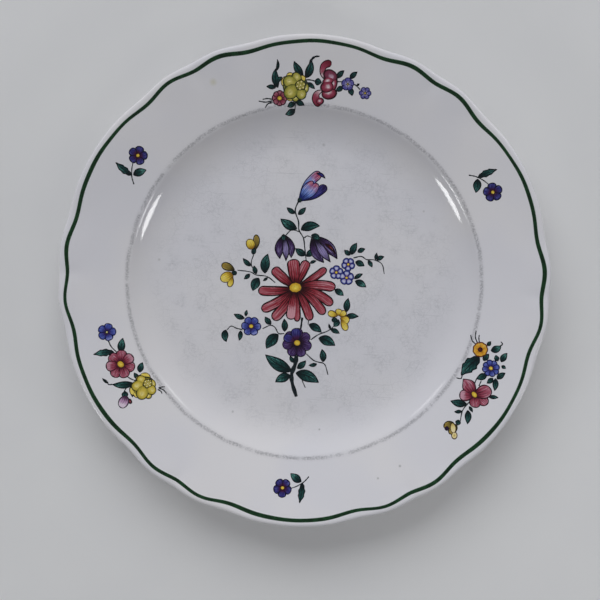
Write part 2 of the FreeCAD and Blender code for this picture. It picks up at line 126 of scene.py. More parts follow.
def underside_corners(reach):
    corners = face_corners(reach)
    side, rim = unit(corners[1], corners[2]), unit(corners[2], corners[3])
    side_start = (well_radius + side[1] * wall, floor_height - side[0] * wall)
    rim_start = (verge_radius + rim[1] * wall, verge_height - rim[0] * wall)
    under_verge = crossing(side_start, side, rim_start, rim)
    rim_end = crossing(rim_start, rim, (reach, 0), (0, 1))
    shoulder = crossing(side_start, side, (0, foot_depth + foot_taper / 2), (1, 0))
    return [
        (rim_end[0], rim_end[1], 0),
        (under_verge[0], under_verge[1], verge_round - wall / 2),
        (shoulder[0], shoulder[1], shoulder_round),
        (foot_outer + foot_taper, foot_depth, foot_round),
        (foot_outer, 0, 0),
    ]


face_line = np.array(rounded(face_corners(plate_radius + 4), 24))
face_slope = np.gradient(np.interp(np.arange(0, 1290) / 10, face_line[:, 0], face_line[:, 1]), 0.1)


def smooth(value, low, high):
    """A soft step from 0 at low to 1 at high."""
    part = np.clip((value - low) / (high - low), 0, 1)
    return part * part * (3 - 2 * part)


def waves(turn, heights):
    """Sum of cosine waves, with crests at the middle of every lobe."""
    return sum(height * np.cos(count * (turn - math.radians(lobe_angle))) for count, height in heights)


def lobe_shift(radius, turn):
    """How far a point of the round plate moves outwards to follow the lobed edge."""
    return waves(turn, edge_waves) * smooth(radius, lobes_start, plate_radius - 5)


def swell(radius, turn):
    """Height of the soft folds at the notches and of the lobes' gentle lift."""
    from_notch = (np.degrees(turn) + 30) % 60 - 30
    away = np.radians(from_notch) * radius
    notch = np.exp(-(away / crease_width) ** 2) - 0.35 * np.exp(-(away / (2.6 * crease_width)) ** 2)
    outwards = smooth(radius, lobes_start, plate_radius - 3)
    return outwards * (0.45 * waves(turn, edge_waves) - crease_depth * notch)


def on_face(x, y, lift):
    """Points of the glazed face, raised by the lift square to the surface."""
    x, y = np.asarray(x, float), np.asarray(y, float)
    radius, turn = np.hypot(x, y), np.arctan2(y, x)
    height = np.interp(radius, face_line[:, 0], face_line[:, 1]) + swell(radius, turn)
    slope = np.interp(radius, np.arange(0, 1290) / 10, face_slope)
    stretch = np.sqrt(1 + slope ** 2)
    out = -slope / stretch * lift
    return np.stack([x + out * np.cos(turn), y + out * np.sin(turn), height + lift / stretch], -1)


# ======== meshes

def make_mesh(name, points, faces, attributes, look, node=None):
    """A smooth mesh object from points in millimetres, riding on the plate."""
    mesh = bpy.data.meshes.new(name)
    points = np.asarray(points, np.float64) * MM
    mesh.vertices.add(len(points))
    mesh.vertices.foreach_set("co", points.astype(np.float32).ravel())
    faces = np.asarray(faces, np.int32)
    mesh.loops.add(faces.size)
    mesh.loops.foreach_set("vertex_index", faces.ravel())
    mesh.polygons.add(len(faces))
    mesh.polygons.foreach_set("loop_start", np.arange(len(faces), dtype=np.int32) * 4)
    mesh.update(calc_edges=True)
    mesh.validate()
    mesh.polygons.foreach_set("use_smooth", np.ones(len(mesh.polygons), bool))
    for label, values in attributes.items():
        values = np.asarray(values, np.float32)
        kind = "FLOAT" if values.ndim == 1 else "FLOAT_VECTOR"
        layer = mesh.attributes.new(label, kind, "POINT")
        layer.data.foreach_set("value" if values.ndim == 1 else "vector", values.ravel())
    piece = bpy.data.objects.new(name, mesh)
    bpy.context.scene.collection.objects.link(piece)
    mesh.materials.append(materials[look])
    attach(piece, "root")
    if node:
        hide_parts(node)
    work = bmesh.new()
    work.from_mesh(mesh)
    bmesh.ops.recalc_face_normals(work, faces=work.faces)
    work.to_mesh(mesh)
    work.free()


def ring_faces(rows, columns):
    """Quads between rows of points: each row is a closed ring, and the last row meets the first."""
    row, column = np.meshgrid(np.arange(rows), np.arange(columns), indexing="ij")
    after_row, after_column = (row + 1) % rows, (column + 1) % columns
    return np.stack([
        row * columns + column, row * columns + after_column,
        after_row * columns + after_column, after_row * columns + column,
    ], -1).reshape(-1, 4)


def grid_faces(rows, columns, start=0, flip=False):
    """Quads of an open grid of points."""
    row, column = np.meshgrid(np.arange(rows - 1), np.arange(columns - 1), indexing="ij")
    quads = np.stack([
        row * columns + column, (row + 1) * columns + column,
        (row + 1) * columns + column + 1, row * columns + column + 1,
    ], -1).reshape(-1, 4)
    return start + (quads[:, ::-1] if flip else quads)


class Paint:
    """Collects closed patches of paint, laid out for the top of the plate and turned to an angle."""

    def __init__(self, angle=top_lobe):
        self.points, self.faces, self.paint, self.tint, self.count = [], [], [], [], 0
        self.turn_to(angle)

    def turn_to(self, angle):
        turn = math.radians(angle - top_lobe)
        self.cos, self.sin = math.cos(turn), math.sin(turn)

    def patch(self, x, y, lift, along, across, from_edge, tint=None):
        """A slab over a grid of (x, y) points: domed top, flat underside and closed sides."""
        tint = random.rand() if tint is None else tint
        paint = np.stack(np.broadcast_arrays(along[:, None], across[None, :], from_edge), -1)
        rows, columns = x.shape
        x, y = x * self.cos - y * self.sin, x * self.sin + y * self.cos
        over = on_face(x, y, lift)
        under = on_face(x, y, np.full_like(lift, paint_bed))
        size = rows * columns
        start = self.count
        rim = np.concatenate([
            np.arange(columns), np.arange(1, rows) * columns + columns - 1,
            (rows - 1) * columns + np.arange(columns - 2, -1, -1), np.arange(rows - 2, 0, -1) * columns,
        ])
        after = np.roll(rim, -1)
        sides = np.stack([rim, after, after + size, rim + size], -1) + start
        self.points += [over.reshape(-1, 3), under.reshape(-1, 3)]
        self.faces += [grid_faces(rows, columns, start), grid_faces(rows, columns, start + size, True), sides]
        flat = paint.reshape(-1, 3)
        self.paint += [flat, flat]
        self.tint.append(np.full(2 * size, tint))
        self.count += 2 * size

    def build(self, name, look, node=None):
        """The collected patches as one object, which may stand for a CAD node."""
        attributes = {"paint": np.concatenate(self.paint), "tint": np.concatenate(self.tint)}
        make_mesh(name, np.concatenate(self.points), np.concatenate(self.faces), attributes, look, node)


# ---- petals, leaves, discs, stems

def outline_width(kind, u):
    """Half width of a blade along its length, as a share of its greatest half width."""
    if kind == "leaf":
        return np.sin(np.pi * u ** 0.85) ** 0.9
    if kind == "serrated":
        return np.sin(np.pi * u ** 0.85) ** 0.9 * (1 - 0.28 * ((u * 3.4) % 1) * (u > 0.15))
    if kind == "long":
        base = 0.26 + 0.74 * np.sin(np.pi / 2 * np.clip(u / 0.62, 0, 1)) ** 1.1
        return np.where(u < 0.84, base, np.sqrt(np.clip(1 - ((u - 0.84) / 0.16) ** 2, 0, 1)))
    if kind == "round":
        base = 0.3 + 0.7 * np.sin(np.pi / 2 * np.clip(u / 0.6, 0, 1))
        return np.where(u < 0.6, base, np.sqrt(np.clip(1 - ((u - 0.6) / 0.4) ** 2, 0, 1)))
    if kind == "pointed":
        base = 0.30 + 0.70 * np.sin(np.pi / 2 * np.clip(u / 0.55, 0, 1))
        return base * np.clip(1 - smooth(u, 0.55, 1.05), 0, 1) ** 0.7
    if kind == "bowl":
        return np.sqrt(np.clip(1 - (2 * u - 1) ** 2, 0, 1))
    raise ValueError(kind)


def domed(from_edge, layer):
    """Height of a patch of enamel: rounded at its edge, and higher on each layer."""
    dome = 1 - np.exp(-from_edge / edge_round)
    lift = (fill_height + layer * stack_step) * (edge_share + (1 - edge_share) * dome)
    return lift + layer * stack_step * stack_lift


def blade(into, base, tip, width, kind="leaf", bend=0.0, layer=0, tint=None, steps=18):
    """A petal or leaf from base to tip, its midline bowed sideways by the bend."""
    base, tip = np.array(base, float), np.array(tip, float)
    along = tip - base
    length = np.hypot(*along)
    across = np.array([-along[1], along[0]]) / length
    u = (1 - np.cos(np.linspace(0.0, np.pi, steps))) / 2
    v = across_petal
    half = np.maximum(outline_width(kind, u) * width / 2, thinnest)
    bow = bend * 4 * u * (1 - u)
    slant = bend * 4 * (1 - 2 * u) / length
    side_x = across[0] - slant * along[0] / length
    side_y = across[1] - slant * along[1] / length
    middle = base + np.outer(u, along) + np.outer(bow, across)
    x = middle[:, :1] + np.outer(half * side_x, v)
    y = middle[:, 1:] + np.outer(half * side_y, v)
    from_edge = np.minimum(np.outer(half, 1 - np.abs(v)), ((1 - u) * length)[:, None])
    into.patch(x, y, domed(from_edge, layer), u, v, from_edge, tint)


def disc(into, x, y, long, wide=None, angle=0.0, layer=0, tint=None, shine=(0, 0), ripple=0, depth=0.0):
    """A round or oval patch: its pale middle may be off centre, its edge may ripple into small lobes."""
    wide = long if wide is None else wide
    turn = np.linspace(0, 2 * np.pi, 37)
    share = out_from_centre
    reach = 1 - depth + depth * np.cos(ripple * turn)
    ax, ay = math.cos(math.radians(angle)), math.sin(math.radians(angle))
    local_x = np.outer(share, np.cos(turn) * reach) * long
    local_y = np.outer(share, np.sin(turn) * reach) * wide
    off_centre = (1 - share)[:, None]
    px = x + local_x * ax - local_y * ay + off_centre * shine[0]
    py = y + local_x * ay + local_y * ax + off_centre * shine[1]
    from_edge = np.outer((1 - share) * min(long, wide), np.ones_like(turn))
    into.patch(px, py, domed(from_edge, layer), share, turn / np.pi - 1, from_edge, tint)


def spline(points, steps):
    """A smooth line through points (Catmull-Rom)."""
    points = np.array(points, float)
    padded = np.vstack([2 * points[0] - points[1], points, 2 * points[-1] - points[-2]])
    line = []
    for index in range(len(points) - 1):
        a, b, c, d = padded[index:index + 4]
        for t in np.linspace(0, 1, steps, endpoint=False):
            line.append(0.5 * (2 * b + (c - a) * t + (2 * a - 5 * b + 4 * c - d) * t ** 2
                               + (3 * b - a - 3 * c + d) * t ** 3))
    line.append(points[-1])
    return np.array(line)


def beside(line, ahead, half, across):
    """Grid of points beside a line: x, y and the distance to the edge."""
    ahead /= np.linalg.norm(ahead, axis=1)[:, None]
    side = np.stack([-ahead[:, 1], ahead[:, 0]], -1)
    x = line[:, :1] + np.outer(half, across) * side[:, :1]
    y = line[:, 1:] + np.outer(half, across) * side[:, 1:]
    return x, y, np.outer(half, 1 - np.abs(across))


def stroke(into, points, width, end_width):
    """A brush or pen line through points, from one width to another."""
    line = spline(points, 6)
    u = np.linspace(0, 1, len(line))
    half = np.interp(u, [0, 1], [width, end_width]) / 2
    half *= 1 + 0.16 * np.sin(u * len(points) * 5.1 + line[0, 0])
    x, y, from_edge = beside(line, np.gradient(line, axis=0), half, across_line)
    lift = ink_height * (0.4 + 0.6 * (1 - np.exp(-from_edge / 0.12)))
    into.patch(x, y, lift, u, across_line, from_edge)


def strokes(into, rows, width, end_width):
    """Several lines of one width."""
    for points in rows:
        stroke(into, points, width, end_width)


def comma(into, points, head, layer, tint):
    """A curled petal: a round head that thins along a curve to a fine tail."""
    line = spline(points, 10)
    gone = np.concatenate([[0], np.cumsum(np.linalg.norm(np.diff(line, axis=0), axis=1))])
    keep = np.concatenate([np.linspace(0, head / 2, 9)[:-1], np.linspace(head / 2, gone[-1], 24)])
    line = np.stack([np.interp(keep, gone, line[:, 0]), np.interp(keep, gone, line[:, 1])], -1)
    u = keep / keep[-1]
    cap = np.sqrt(np.clip(1 - (1 - np.minimum(keep / (head / 2), 1)) ** 2, 0, 1))
    half = np.maximum(head / 2 * cap * (1 - 0.88 * u ** 2.2), 0.02)
    x, y, from_edge = beside(line, np.gradient(line, keep, axis=0), half, across_curl)
    into.patch(x, y, domed(from_edge, layer), 1 - u, across_curl, from_edge, tint)


def rosette(into, x, y, radius, petals, angle=90.0, width=None, kind="round", layer=0, tints=None):
    """A small flower of equal petals round a centre."""
    width = width or 2 * radius * math.sin(math.pi / petals) * 0.95
    for index in range(petals):
        turn = math.radians(angle + 360 * index / petals)
        tip = (x + radius * math.cos(turn), y + radius * math.sin(turn))
        base = (x + 0.12 * radius * math.cos(turn), y + 0.12 * radius * math.sin(turn))
        blade(into, base, tip, width, kind, 0, layer + index % 2 * 1.5,
              None if tints is None else tints[index % len(tints)])


# ======== materials

class Nodes:
    """Short names for building a shader's node tree."""

    def __init__(self, name):
        self.material = bpy.data.materials.new(name)
        self.material.use_nodes = True
        self.tree = self.material.node_tree
        self.shader = self.tree.nodes["Principled BSDF"]

    def node(self, kind, inputs=None, **settings):
        made = self.tree.nodes.new(kind)
        for key, value in settings.items():
            setattr(made, key, value)
        for key, value in (inputs or {}).items():
            self.plug(value, made.inputs[key])
        return made

    def plug(self, value, socket):
        if isinstance(value, bpy.types.NodeSocket):
            self.tree.links.new(value, socket)
        else:
            socket.default_value = value

    def math(self, operation, a, b=0.0, c=0.0):
        return self.node("ShaderNodeMath", {0: a, 1: b, 2: c}, operation=operation).outputs[0]

    def times(self, first, *others):
        for other in others:
            first = self.math("MULTIPLY", first, other)
        return first

    def off(self, a, b):
        """How far a is from b, either way."""
        return self.math("ABSOLUTE", self.math("SUBTRACT", a, b))

    def vector(self, operation, a, b=(0, 0, 0)):
        """A vector result of a vector operation."""
        return self.node("ShaderNodeVectorMath", {0: a, 1: b}, operation=operation).outputs[0]

    def length(self, operation, a, b=(0, 0, 0)):
        """A number from a vector operation."""
        return self.node("ShaderNodeVectorMath", {0: a, 1: b}, operation=operation).outputs["Value"]

    def join(self, x, y, z):
        return self.node("ShaderNodeCombineXYZ", {0: x, 1: y, 2: z}).outputs[0]

    def split(self, vector):
        return self.node("ShaderNodeSeparateXYZ", {0: vector}).outputs

    def brush(self):
        """Along and across a patch of paint, and the distance in from its edge in millimetres."""
        return self.split(self.node("ShaderNodeAttribute", attribute_name="paint").outputs["Vector"])

    def mix(self, share, a, b):
        made = self.node("ShaderNodeMix", data_type="RGBA")
        for socket, value in ((0, share), (6, a), (7, b)):
            self.plug(value, made.inputs[socket])
        return made.outputs[2]

    def step(self, value, low, high, start=0.0, end=1.0):
        made = self.node("ShaderNodeMapRange", {0: value, 1: low, 2: high, 3: start, 4: end},
                         interpolation_type="SMOOTHSTEP")
        return made.outputs[0]

    def noise(self, vector, scale, detail=3.0, rough=0.55):
        given = {"Vector": vector, "Scale": scale, "Detail": detail, "Roughness": rough}
        return self.node("ShaderNodeTexNoise", given).outputs["Fac"]

    def place(self):
        """Position on the plate, in millimetres."""
        return self.vector("MULTIPLY", self.node("ShaderNodeTexCoord").outputs["Object"], (1000, 1000, 1000))

    def stretch(self, vector, factors, turn=0.0):
        made = self.node("ShaderNodeMapping", {"Vector": vector, "Scale": factors,
                                               "Rotation": (0, 0, math.radians(turn))})
        return made.outputs[0]

    def bump(self, height, distance, strength=1.0):
        made = self.node("ShaderNodeBump", {"Height": height, "Distance": distance, "Strength": strength})
        self.tree.links.new(made.outputs[0], self.shader.inputs["Normal"])

    def finish(self, colour, roughness, coat=0.0):
        self.plug(colour, self.shader.inputs["Base Color"])
        self.plug(roughness, self.shader.inputs["Roughness"])
        self.shader.inputs["Coat Weight"].default_value = coat
        self.shader.inputs["Coat Roughness"].default_value = 0.03
        self.shader.inputs["IOR"].default_value = 1.5
        return self.material


def rgb(red, green, blue):
    """A linear colour from 0-255 display values."""
    return tuple((value / 255) ** 2.2 for value in (red, green, blue)) + (1.0,)


def shade(code):
    """The same from a hex code."""
    return rgb(*bytes.fromhex(code))


worn_ring_radius = 91.2
stains = [
    (-50.5, 99.5, 2.6, (196, 190, 140), 0.40),
    (6.5, 71.5, 1.3, (150, 150, 152), 0.45),
    (54.5, -91.5, 1.0, (120, 120, 118), 0.60),
    (43.5, -98.5, 0.9, (130, 128, 124), 0.55),
    (-76.0, 8.0, 1.1, (150, 148, 144), 0.40),
    (12.0, -77.0, 0.8, (96, 96, 98), 0.50),
    (-34.0, -70.0, 1.0, (120, 120, 120), 0.40),
    (60.0, 40.0, 0.9, (140, 138, 130), 0.35),
]


def glaze_material():
    """Glossy off-white glaze: crazed and faintly stained in the well, worn at the verge."""
    n = Nodes("glaze")
    place = n.place()
    x, y, z = n.split(place)
    flat = n.join(x, y, 0.0)
    radius = n.length("LENGTH", flat)
    above = n.step(z, 5.0, 6.5)
    in_well = n.step(radius, 86.0, 68.0)
    # soft uneven tone of the body under the glaze
    cloud = n.noise(place, 0.018, 2.0)
    tone = n.mix(n.step(cloud, 0.35, 0.65), rgb(231, 229, 231), rgb(226, 225, 230))
    # painted shade: the whole well, a hollow, is painted a little darker and greyer
    tone = n.mix(n.times(in_well, 0.30), tone, rgb(206, 206, 212))
    # fuzzy grey mottling of the worn well
    soft = n.noise(flat, 0.09, 4.0, 0.6)
    fine = n.noise(flat, 0.6, 5.0, 0.7)
    grey = n.times(n.step(soft, 0.42, 0.68), n.step(fine, 0.38, 0.66), in_well, above)
    tone = n.mix(n.times(grey, 0.20), tone, rgb(120, 124, 130))
    # crazing: two nets of fine cracks, darker where food has stained them
    warp = n.node("ShaderNodeTexNoise", {"Vector": flat, "Scale": 0.22, "Detail": 3.0}).outputs["Color"]
    warped = n.vector("ADD", flat, n.vector("MULTIPLY", warp, (2.6, 2.6, 0)))
    cracks = 0.0
    for scale, width, strength in ((0.24, 0.035, 0.55), (0.52, 0.05, 0.45)):
        net = n.node("ShaderNodeTexVoronoi", {"Vector": warped, "Scale": scale},
                     feature="DISTANCE_TO_EDGE", voronoi_dimensions="2D")
        line = n.step(net.outputs["Distance"], width, 0.0)
        cracks = n.math("MULTIPLY_ADD", line, strength, cracks)
    stained = n.step(n.noise(flat, 0.045, 3.0), 0.40, 0.62)
    crack_tone = n.times(cracks, n.math("MULTIPLY_ADD", stained, 0.8, 0.2),
                         n.math("MULTIPLY_ADD", in_well, 0.26, 0.03), above)
    tone = n.mix(crack_tone, tone, rgb(92, 94, 98))
    # knife marks: short fine scratches in a few directions
    marks = 0.0
    for turn, seed in ((12, 3.1), (63, 17.7), (118, 31.3), (151, 45.9)):
        lines = n.noise(n.stretch(flat, (0.035, 1.5, 1), turn), 1.0, 2.0, 0.5)
        where = n.noise(n.stretch(flat, (0.05, 0.05, 1), seed * 7), 1.0, 2.0)
        keep = n.times(n.step(lines, 0.66, 0.74), n.step(where, 0.46, 0.62))
        marks = n.math("MAXIMUM", keep, marks)
    marks = n.times(marks, in_well, above)
    tone = n.mix(n.times(marks, 0.22), tone, rgb(105, 108, 112))
    # the grey ring that stacked plates have rubbed into the verge
    around = n.vector("NORMALIZE", flat)
    wander = n.times(n.math("SUBTRACT", n.noise(around, 7.0, 4.0, 0.6), 0.5), 1.6)
    off_ring = n.off(n.math("ADD", radius, wander), worn_ring_radius)
    ring = n.step(off_ring, 1.5, 0.2)
    dashes = n.step(n.noise(flat, 1.1, 5.0, 0.8), 0.34, 0.62)
    long_dashes = n.step(n.noise(around, 16.0, 3.0), 0.22, 0.52)
    worn = n.times(ring, dashes, long_dashes)
    halo = n.times(n.step(off_ring, 2.4, 0.3), dashes, 0.22)
    on_the_face = n.step(z, 13.0, 14.2)     # the underside at this radius is lower
    worn = n.times(n.math("MAXIMUM", worn, halo), on_the_face)
    tone = n.mix(n.times(worn, 0.60), tone, rgb(84, 84, 90))
    # a few old stains: where, how big, colour, how strong
    for x, y, size, grey, strength in stains:
        spot = n.step(n.length("DISTANCE", flat, (x, y, 0)), size, 0.0)
        tone = n.mix(n.times(spot, above, strength), tone, rgb(*grey))
    roughness = n.math("MULTIPLY_ADD", n.math("MAXIMUM", worn, n.times(marks, 0.7)), 0.35, 0.07)
    waviness = n.noise(place, 0.12, 2.0)
    height = n.math("MULTIPLY_ADD", cracks, -0.010, n.times(waviness, 0.16))
    n.bump(height, 0.0006, 0.35)
    return n.finish(tone, roughness, 0.35)


def biscuit_material():
    """Bare fired clay on the foot ring: matt, grainy and a little soiled."""
    n = Nodes("biscuit")
    place = n.place()
    grain = n.noise(place, 3.0, 6.0, 0.7)
    soil = n.noise(place, 0.12, 3.0)
    tone = n.mix(n.step(grain, 0.3, 0.7), rgb(214, 205, 188), rgb(232, 226, 214))
    tone = n.mix(n.step(soil, 0.5, 0.75, 0.0, 0.55), tone, rgb(160, 146, 122))
    n.bump(grain, 0.0002, 0.5)
    return n.finish(tone, n.step(grain, 0.2, 0.8, 0.75, 0.95))


def enamel(name, base, middle, tip, ink, light, line, hatch, veins=0.0, rim=None):
    """Enamel washed over a printed drawing: a blend from base to tip, hatching and inked edges."""
    n = Nodes(name)
    along, across, inside = n.brush()
    tint = n.node("ShaderNodeAttribute", attribute_name="tint").outputs["Fac"]
    place = n.place()
    wash = n.noise(place, 0.5, 3.0, 0.6)
    blend = n.math("MULTIPLY_ADD", n.math("SUBTRACT", wash, 0.5), 0.45, along)
    colour = n.mix(n.step(blend, 0.05, 0.5), base, middle)
    colour = n.mix(n.step(blend, 0.5, 1.0), colour, tip)
    # brush streaks along each petal, and a pale bloom on some of them
    lanes = n.join(n.times(along, 1.1), n.times(across, 3.2), n.times(tint, 37.0))
    streak = n.noise(lanes, 1.8, 3.0, 0.6)
    pale = n.times(n.step(streak, 0.52, 0.34), n.step(blend, 0.30, 0.75))
    bloom = n.times(n.step(tint, 0.72, 0.96), n.step(blend, 0.48, 0.74))
    colour = n.mix(n.times(n.math("MAXIMUM", pale, bloom), 0.85), colour, light)
    # drawn lines that fan out from the base
    comb = n.math("FRACT", n.math("MULTIPLY_ADD", across, 2.6, n.math("MULTIPLY_ADD", streak, 1.3, tint)))
    thin = n.step(n.off(comb, 0.5), 0.24, 0.08)
    colour = n.mix(n.times(thin, n.step(along, 1.0, 0.25, 0.0, hatch)), colour, ink)
    colour = n.mix(n.step(along, 0.42, 0.04, 0.0, hatch), colour, ink)
    if rim:
        colour = n.mix(n.step(inside, 1.25, 0.75, 0.0, 0.95), colour, shade(rim))
    # a midrib, and side veins that slant forward
    if veins:
        wide = n.math("ABSOLUTE", across)
        rib = n.step(wide, 0.15, 0.05)
        slant = n.math("SUBTRACT", n.times(along, 5.0), n.times(wide, 1.4))
        saw = n.off(n.math("FRACT", slant), 0.5)
        side_veins = n.times(n.step(saw, 0.16, 0.05), n.step(wide, 1.0, 0.6), 0.8)
        colour = n.mix(n.times(n.math("MAXIMUM", rib, side_veins), veins), colour, ink)
    wobble = n.math("MULTIPLY_ADD", n.noise(place, 1.3, 2.0), 0.7, 0.65)
    outline = n.step(n.math("DIVIDE", inside, wobble), line * 1.5, line)
    colour = n.mix(outline, colour, ink)
    height = n.math("MULTIPLY_ADD", streak, 0.5, wash)
    n.bump(height, 0.00008, 0.6)
    return n.finish(colour, n.step(wash, 0.2, 0.8, 0.14, 0.28), 0.25)


def line_material():
    """Dark green banding: a brush-laid line with lighter thin spots."""
    n = Nodes("rim_green")
    along, across, inside = n.brush()
    place = n.place()
    brush = n.noise(place, 0.35, 4.0, 0.6)
    hair = n.noise(n.join(n.times(along, 90.0), n.times(across, 3.0), 0.0), 1.0, 3.0)
    colour = n.mix(n.step(brush, 0.3, 0.7), rgb(10, 38, 20), rgb(24, 62, 34))
    colour = n.mix(n.step(hair, 0.5, 0.75, 0.0, 0.5), colour, rgb(40, 84, 48))
    colour = n.mix(n.step(inside, 0.30, 0.02, 0.0, 0.55), colour, rgb(96, 130, 104))
    n.bump(hair, 0.00008, 0.5)
    return n.finish(colour, n.step(brush, 0.2, 0.8, 0.14, 0.28), 0.3)


def ink_material():
    """Printed ink lines, nearly black with a green-blue cast."""
    n = Nodes("ink")
    place = n.place()
    break_up = n.noise(place, 1.6, 4.0, 0.65)
    colour = n.mix(n.step(break_up, 0.35, 0.7), rgb(14, 18, 24), rgb(34, 48, 52))
    n.bump(break_up, 0.00005, 0.5)
    return n.finish(colour, n.step(break_up, 0.2, 0.8, 0.18, 0.34), 0.2)


def eye_material():
    """Yellow flower eyes: bright in the middle, brown-ringed and stippled."""
    n = Nodes("eye")
    along, _, inside = n.brush()
    place = n.place()
    dots = n.noise(place, 2.4, 3.0)
    colour = n.mix(n.step(along, 0.1, 0.9), rgb(240, 214, 84), rgb(206, 160, 44))
    colour = n.mix(n.step(dots, 0.52, 0.7, 0.0, 0.6), colour, rgb(128, 84, 26))
    colour = n.mix(n.step(inside, 0.34, 0.14), colour, rgb(52, 26, 24))
    n.bump(dots, 0.0001, 0.7)
    return n.finish(colour, n.step(dots, 0.2, 0.8, 0.18, 0.3), 0.25)


def floor_material():
    """Plain pale floor with a barely visible grain."""
    n = Nodes("floor")
    place = n.place()
    grain = n.noise(place, 0.02, 4.0)
    colour = n.mix(grain, rgb(228, 228, 229), rgb(234, 234, 233))
    return n.finish(colour, n.step(grain, 0.2, 0.8, 0.6, 0.7))


materials = {
    "glaze": glaze_material(),
    "biscuit": biscuit_material(),
    "line": line_material(),
    "ink": ink_material(),
    "eye": eye_material(),
}

brown_ink, navy_ink, wine_ink, plum_ink, green_ink = "462e12", "161848", "320816", "1a0c24", "08161a"
enamels = {
    # look: slot; colours of base, middle, tip, ink and highlights; outline in mm; hatching; veins; edging
    "leaf": ("leaf", "0a2224", "12403e", "0e3034", green_ink, "5c9c92", 0.46, 0.5, 0.9),
    "red": ("red", "540c1a", "942e3a", "9e424e", "22060c", "d6a0aa", 0.56, 1.0),
    "rose": ("red", "701e34", "984054", "a85c6e", "340a1c", "d6aaba", 0.5, 0.8),
    "indigo": ("blue", "5c1428", "302868", "383880", "100e2c", "686cb0", 0.5, 0.6),
    "berry": ("red", "f6e0e6", "9e4258", "5c0c1e", wine_ink, "781c30", 0.4, 0.1),
    "mulberry": ("red", "d8b4c8", "803e54", "601c32", wine_ink, "783248", 0.4, 0.15),
    "blue": ("blue", "54346e", "3a489c", "4c5cae", navy_ink, "929ad6", 0.5, 0.7),
    "forget": ("blue", "be8caa", "c0c4e4", "aab2dc", "161c56", "e8e8f4", 0.42, 0.25, 0.0, "2a3488"),
    "lilac": ("blue", "cec6e2", "5c56a0", "3c3888", "18144c", "9696d0", 0.42, 0.35),
    "purple": ("purple", "2c0a1c", "3e2652", "422e62", plum_ink, "806ea4", 0.48, 0.9),
    "plum": ("purple", "241228", "422c58", "28183c", "0e0816", "a89cd2", 0.46, 0.7),
    "yellow": ("yellow", "ba8c24", "e2c446", "ecd664", brown_ink, "f6e898", 0.4, 0.45),
    "olive": ("yellow", "4e461e", "806e30", "a0863e", "261e12", "ceb870", 0.44, 0.7),
    "cup": ("yellow", "ded484", "b6ac4c", "546024", "1c2612", "808636", 0.46, 0.0),
    "gold": ("yellow", "e8da88", "ceb64a", "7a7426", "2c2e12", "9e9438", 0.42, 0.0),
    "orange": ("yellow", "963c1e", "dc9c2c", "e2ac3c", "602a12", "f0d06e", 0.5, 0.5),
    "mauve": ("purple", "6c3c5c", "be96ba", "d6bad4", plum_ink, "eadce8", 0.4, 0.6),
    "navy": ("blue", "141646", "2a2c76", "24163e", plum_ink, "5c54a0", 0.42, 0.6),
    "tulip": ("blue", "12328c", "708cd4", "a62836", navy_ink, "f0e2ea", 0.46, 0.7),
    "bell": ("purple", "34244c", "968aba", "28183c", "0e0816", "605288", 0.5, 0.8),
    "heart": ("yellow", "faf4ce", "e2d068", "787630", "242814", "6e6a28", 0.3, 0.1),
    "cream": ("yellow", "e0c46e", "eeda96", "ceaa54", brown_ink, "f6eabe", 0.36, 0.2),
}
for look, (slot, base, middle, tip, ink, light, line, hatch, *more) in enamels.items():
    materials[look] = enamel(look, *map(shade, (base, middle, tip, ink, light)), line, hatch, *more)


# ======== plate meshes

def plate_outer_profile():
    """Radius and height round the glazed outside: face centre, rim, lip, underside, bare foot."""
    face = [point for point in rounded(face_corners(plate_radius), 14) if point[0] < plate_radius - lip_width]
    start = plate_radius - lip_width
    high = verge_height + rim_rise * (start - verge_radius)
    rim_points = np.linspace(face[-1][0], start, 22)[1:]
    face += [(r, verge_height + rim_rise * (r - verge_radius)) for r in rim_points]
    floor = [(r, floor_height) for r in (0.05, 0.4, 1.5, 4, 10, 20, 30, 40, 50, 60)]
    face = floor + face[1:]
    under = rounded(underside_corners(plate_radius), 8)
    low = under[0][1]
    edge_middle = (high + low + 1.0) / 2
    lip = []
    for degrees in range(8, 91, 9):
        out = math.sin(math.radians(degrees))
        up = math.cos(math.radians(degrees))
        lip.append((start + lip_width * out,
                    edge_middle + (high - edge_middle) * up + rim_rise * lip_width * out * up))
    for degrees in range(9, 82, 9):
        down = math.sin(math.radians(degrees))
        back = lip_width * 0.85 * (1 - math.cos(math.radians(degrees)))
        lip.append((plate_radius - back, edge_middle - (edge_middle - low + rim_rise * back) * down))
    inward = [point for point in under if point[0] < lip[-1][0] - 0.3]
    run = [(r, np.interp(r, [inward[0][0], lip[-1][0]], [inward[0][1], lip[-1][1]]))
           for r in np.linspace(lip[-1][0], inward[0][0], 18)[1:-1]]
    outside = [point for point in inward if point[1] > bare_foot_height]
    return face + lip + run + outside + [(foot_outer + glaze_on_foot, bare_foot_height)]


def underfloor_profile():
    """The glazed underside inside the foot ring, from the bare foot to the axis."""
    ceiling = floor_height - wall
    curve = rounded([
        (foot_inner - glaze_on_foot, bare_foot_height, 0),
        (foot_inner - foot_taper, ceiling, underfloor_round),
        (60, ceiling, 0),
    ], 8)
    return curve + [(radius, ceiling) for radius in (45, 30, 15, 5, 1.5, 0.4, 0.05)]


def inset(profile, depth):
    """The profile moved inwards, under the skin of glaze."""
    line = np.array(profile)
    ahead = np.gradient(line, axis=0)
    ahead /= np.linalg.norm(ahead, axis=1)[:, None]
    inner = line + np.stack([ahead[:, 1], -ahead[:, 0]], -1) * depth
    inner[:, 0] = np.maximum(inner[:, 0], 0.05)
    return inner


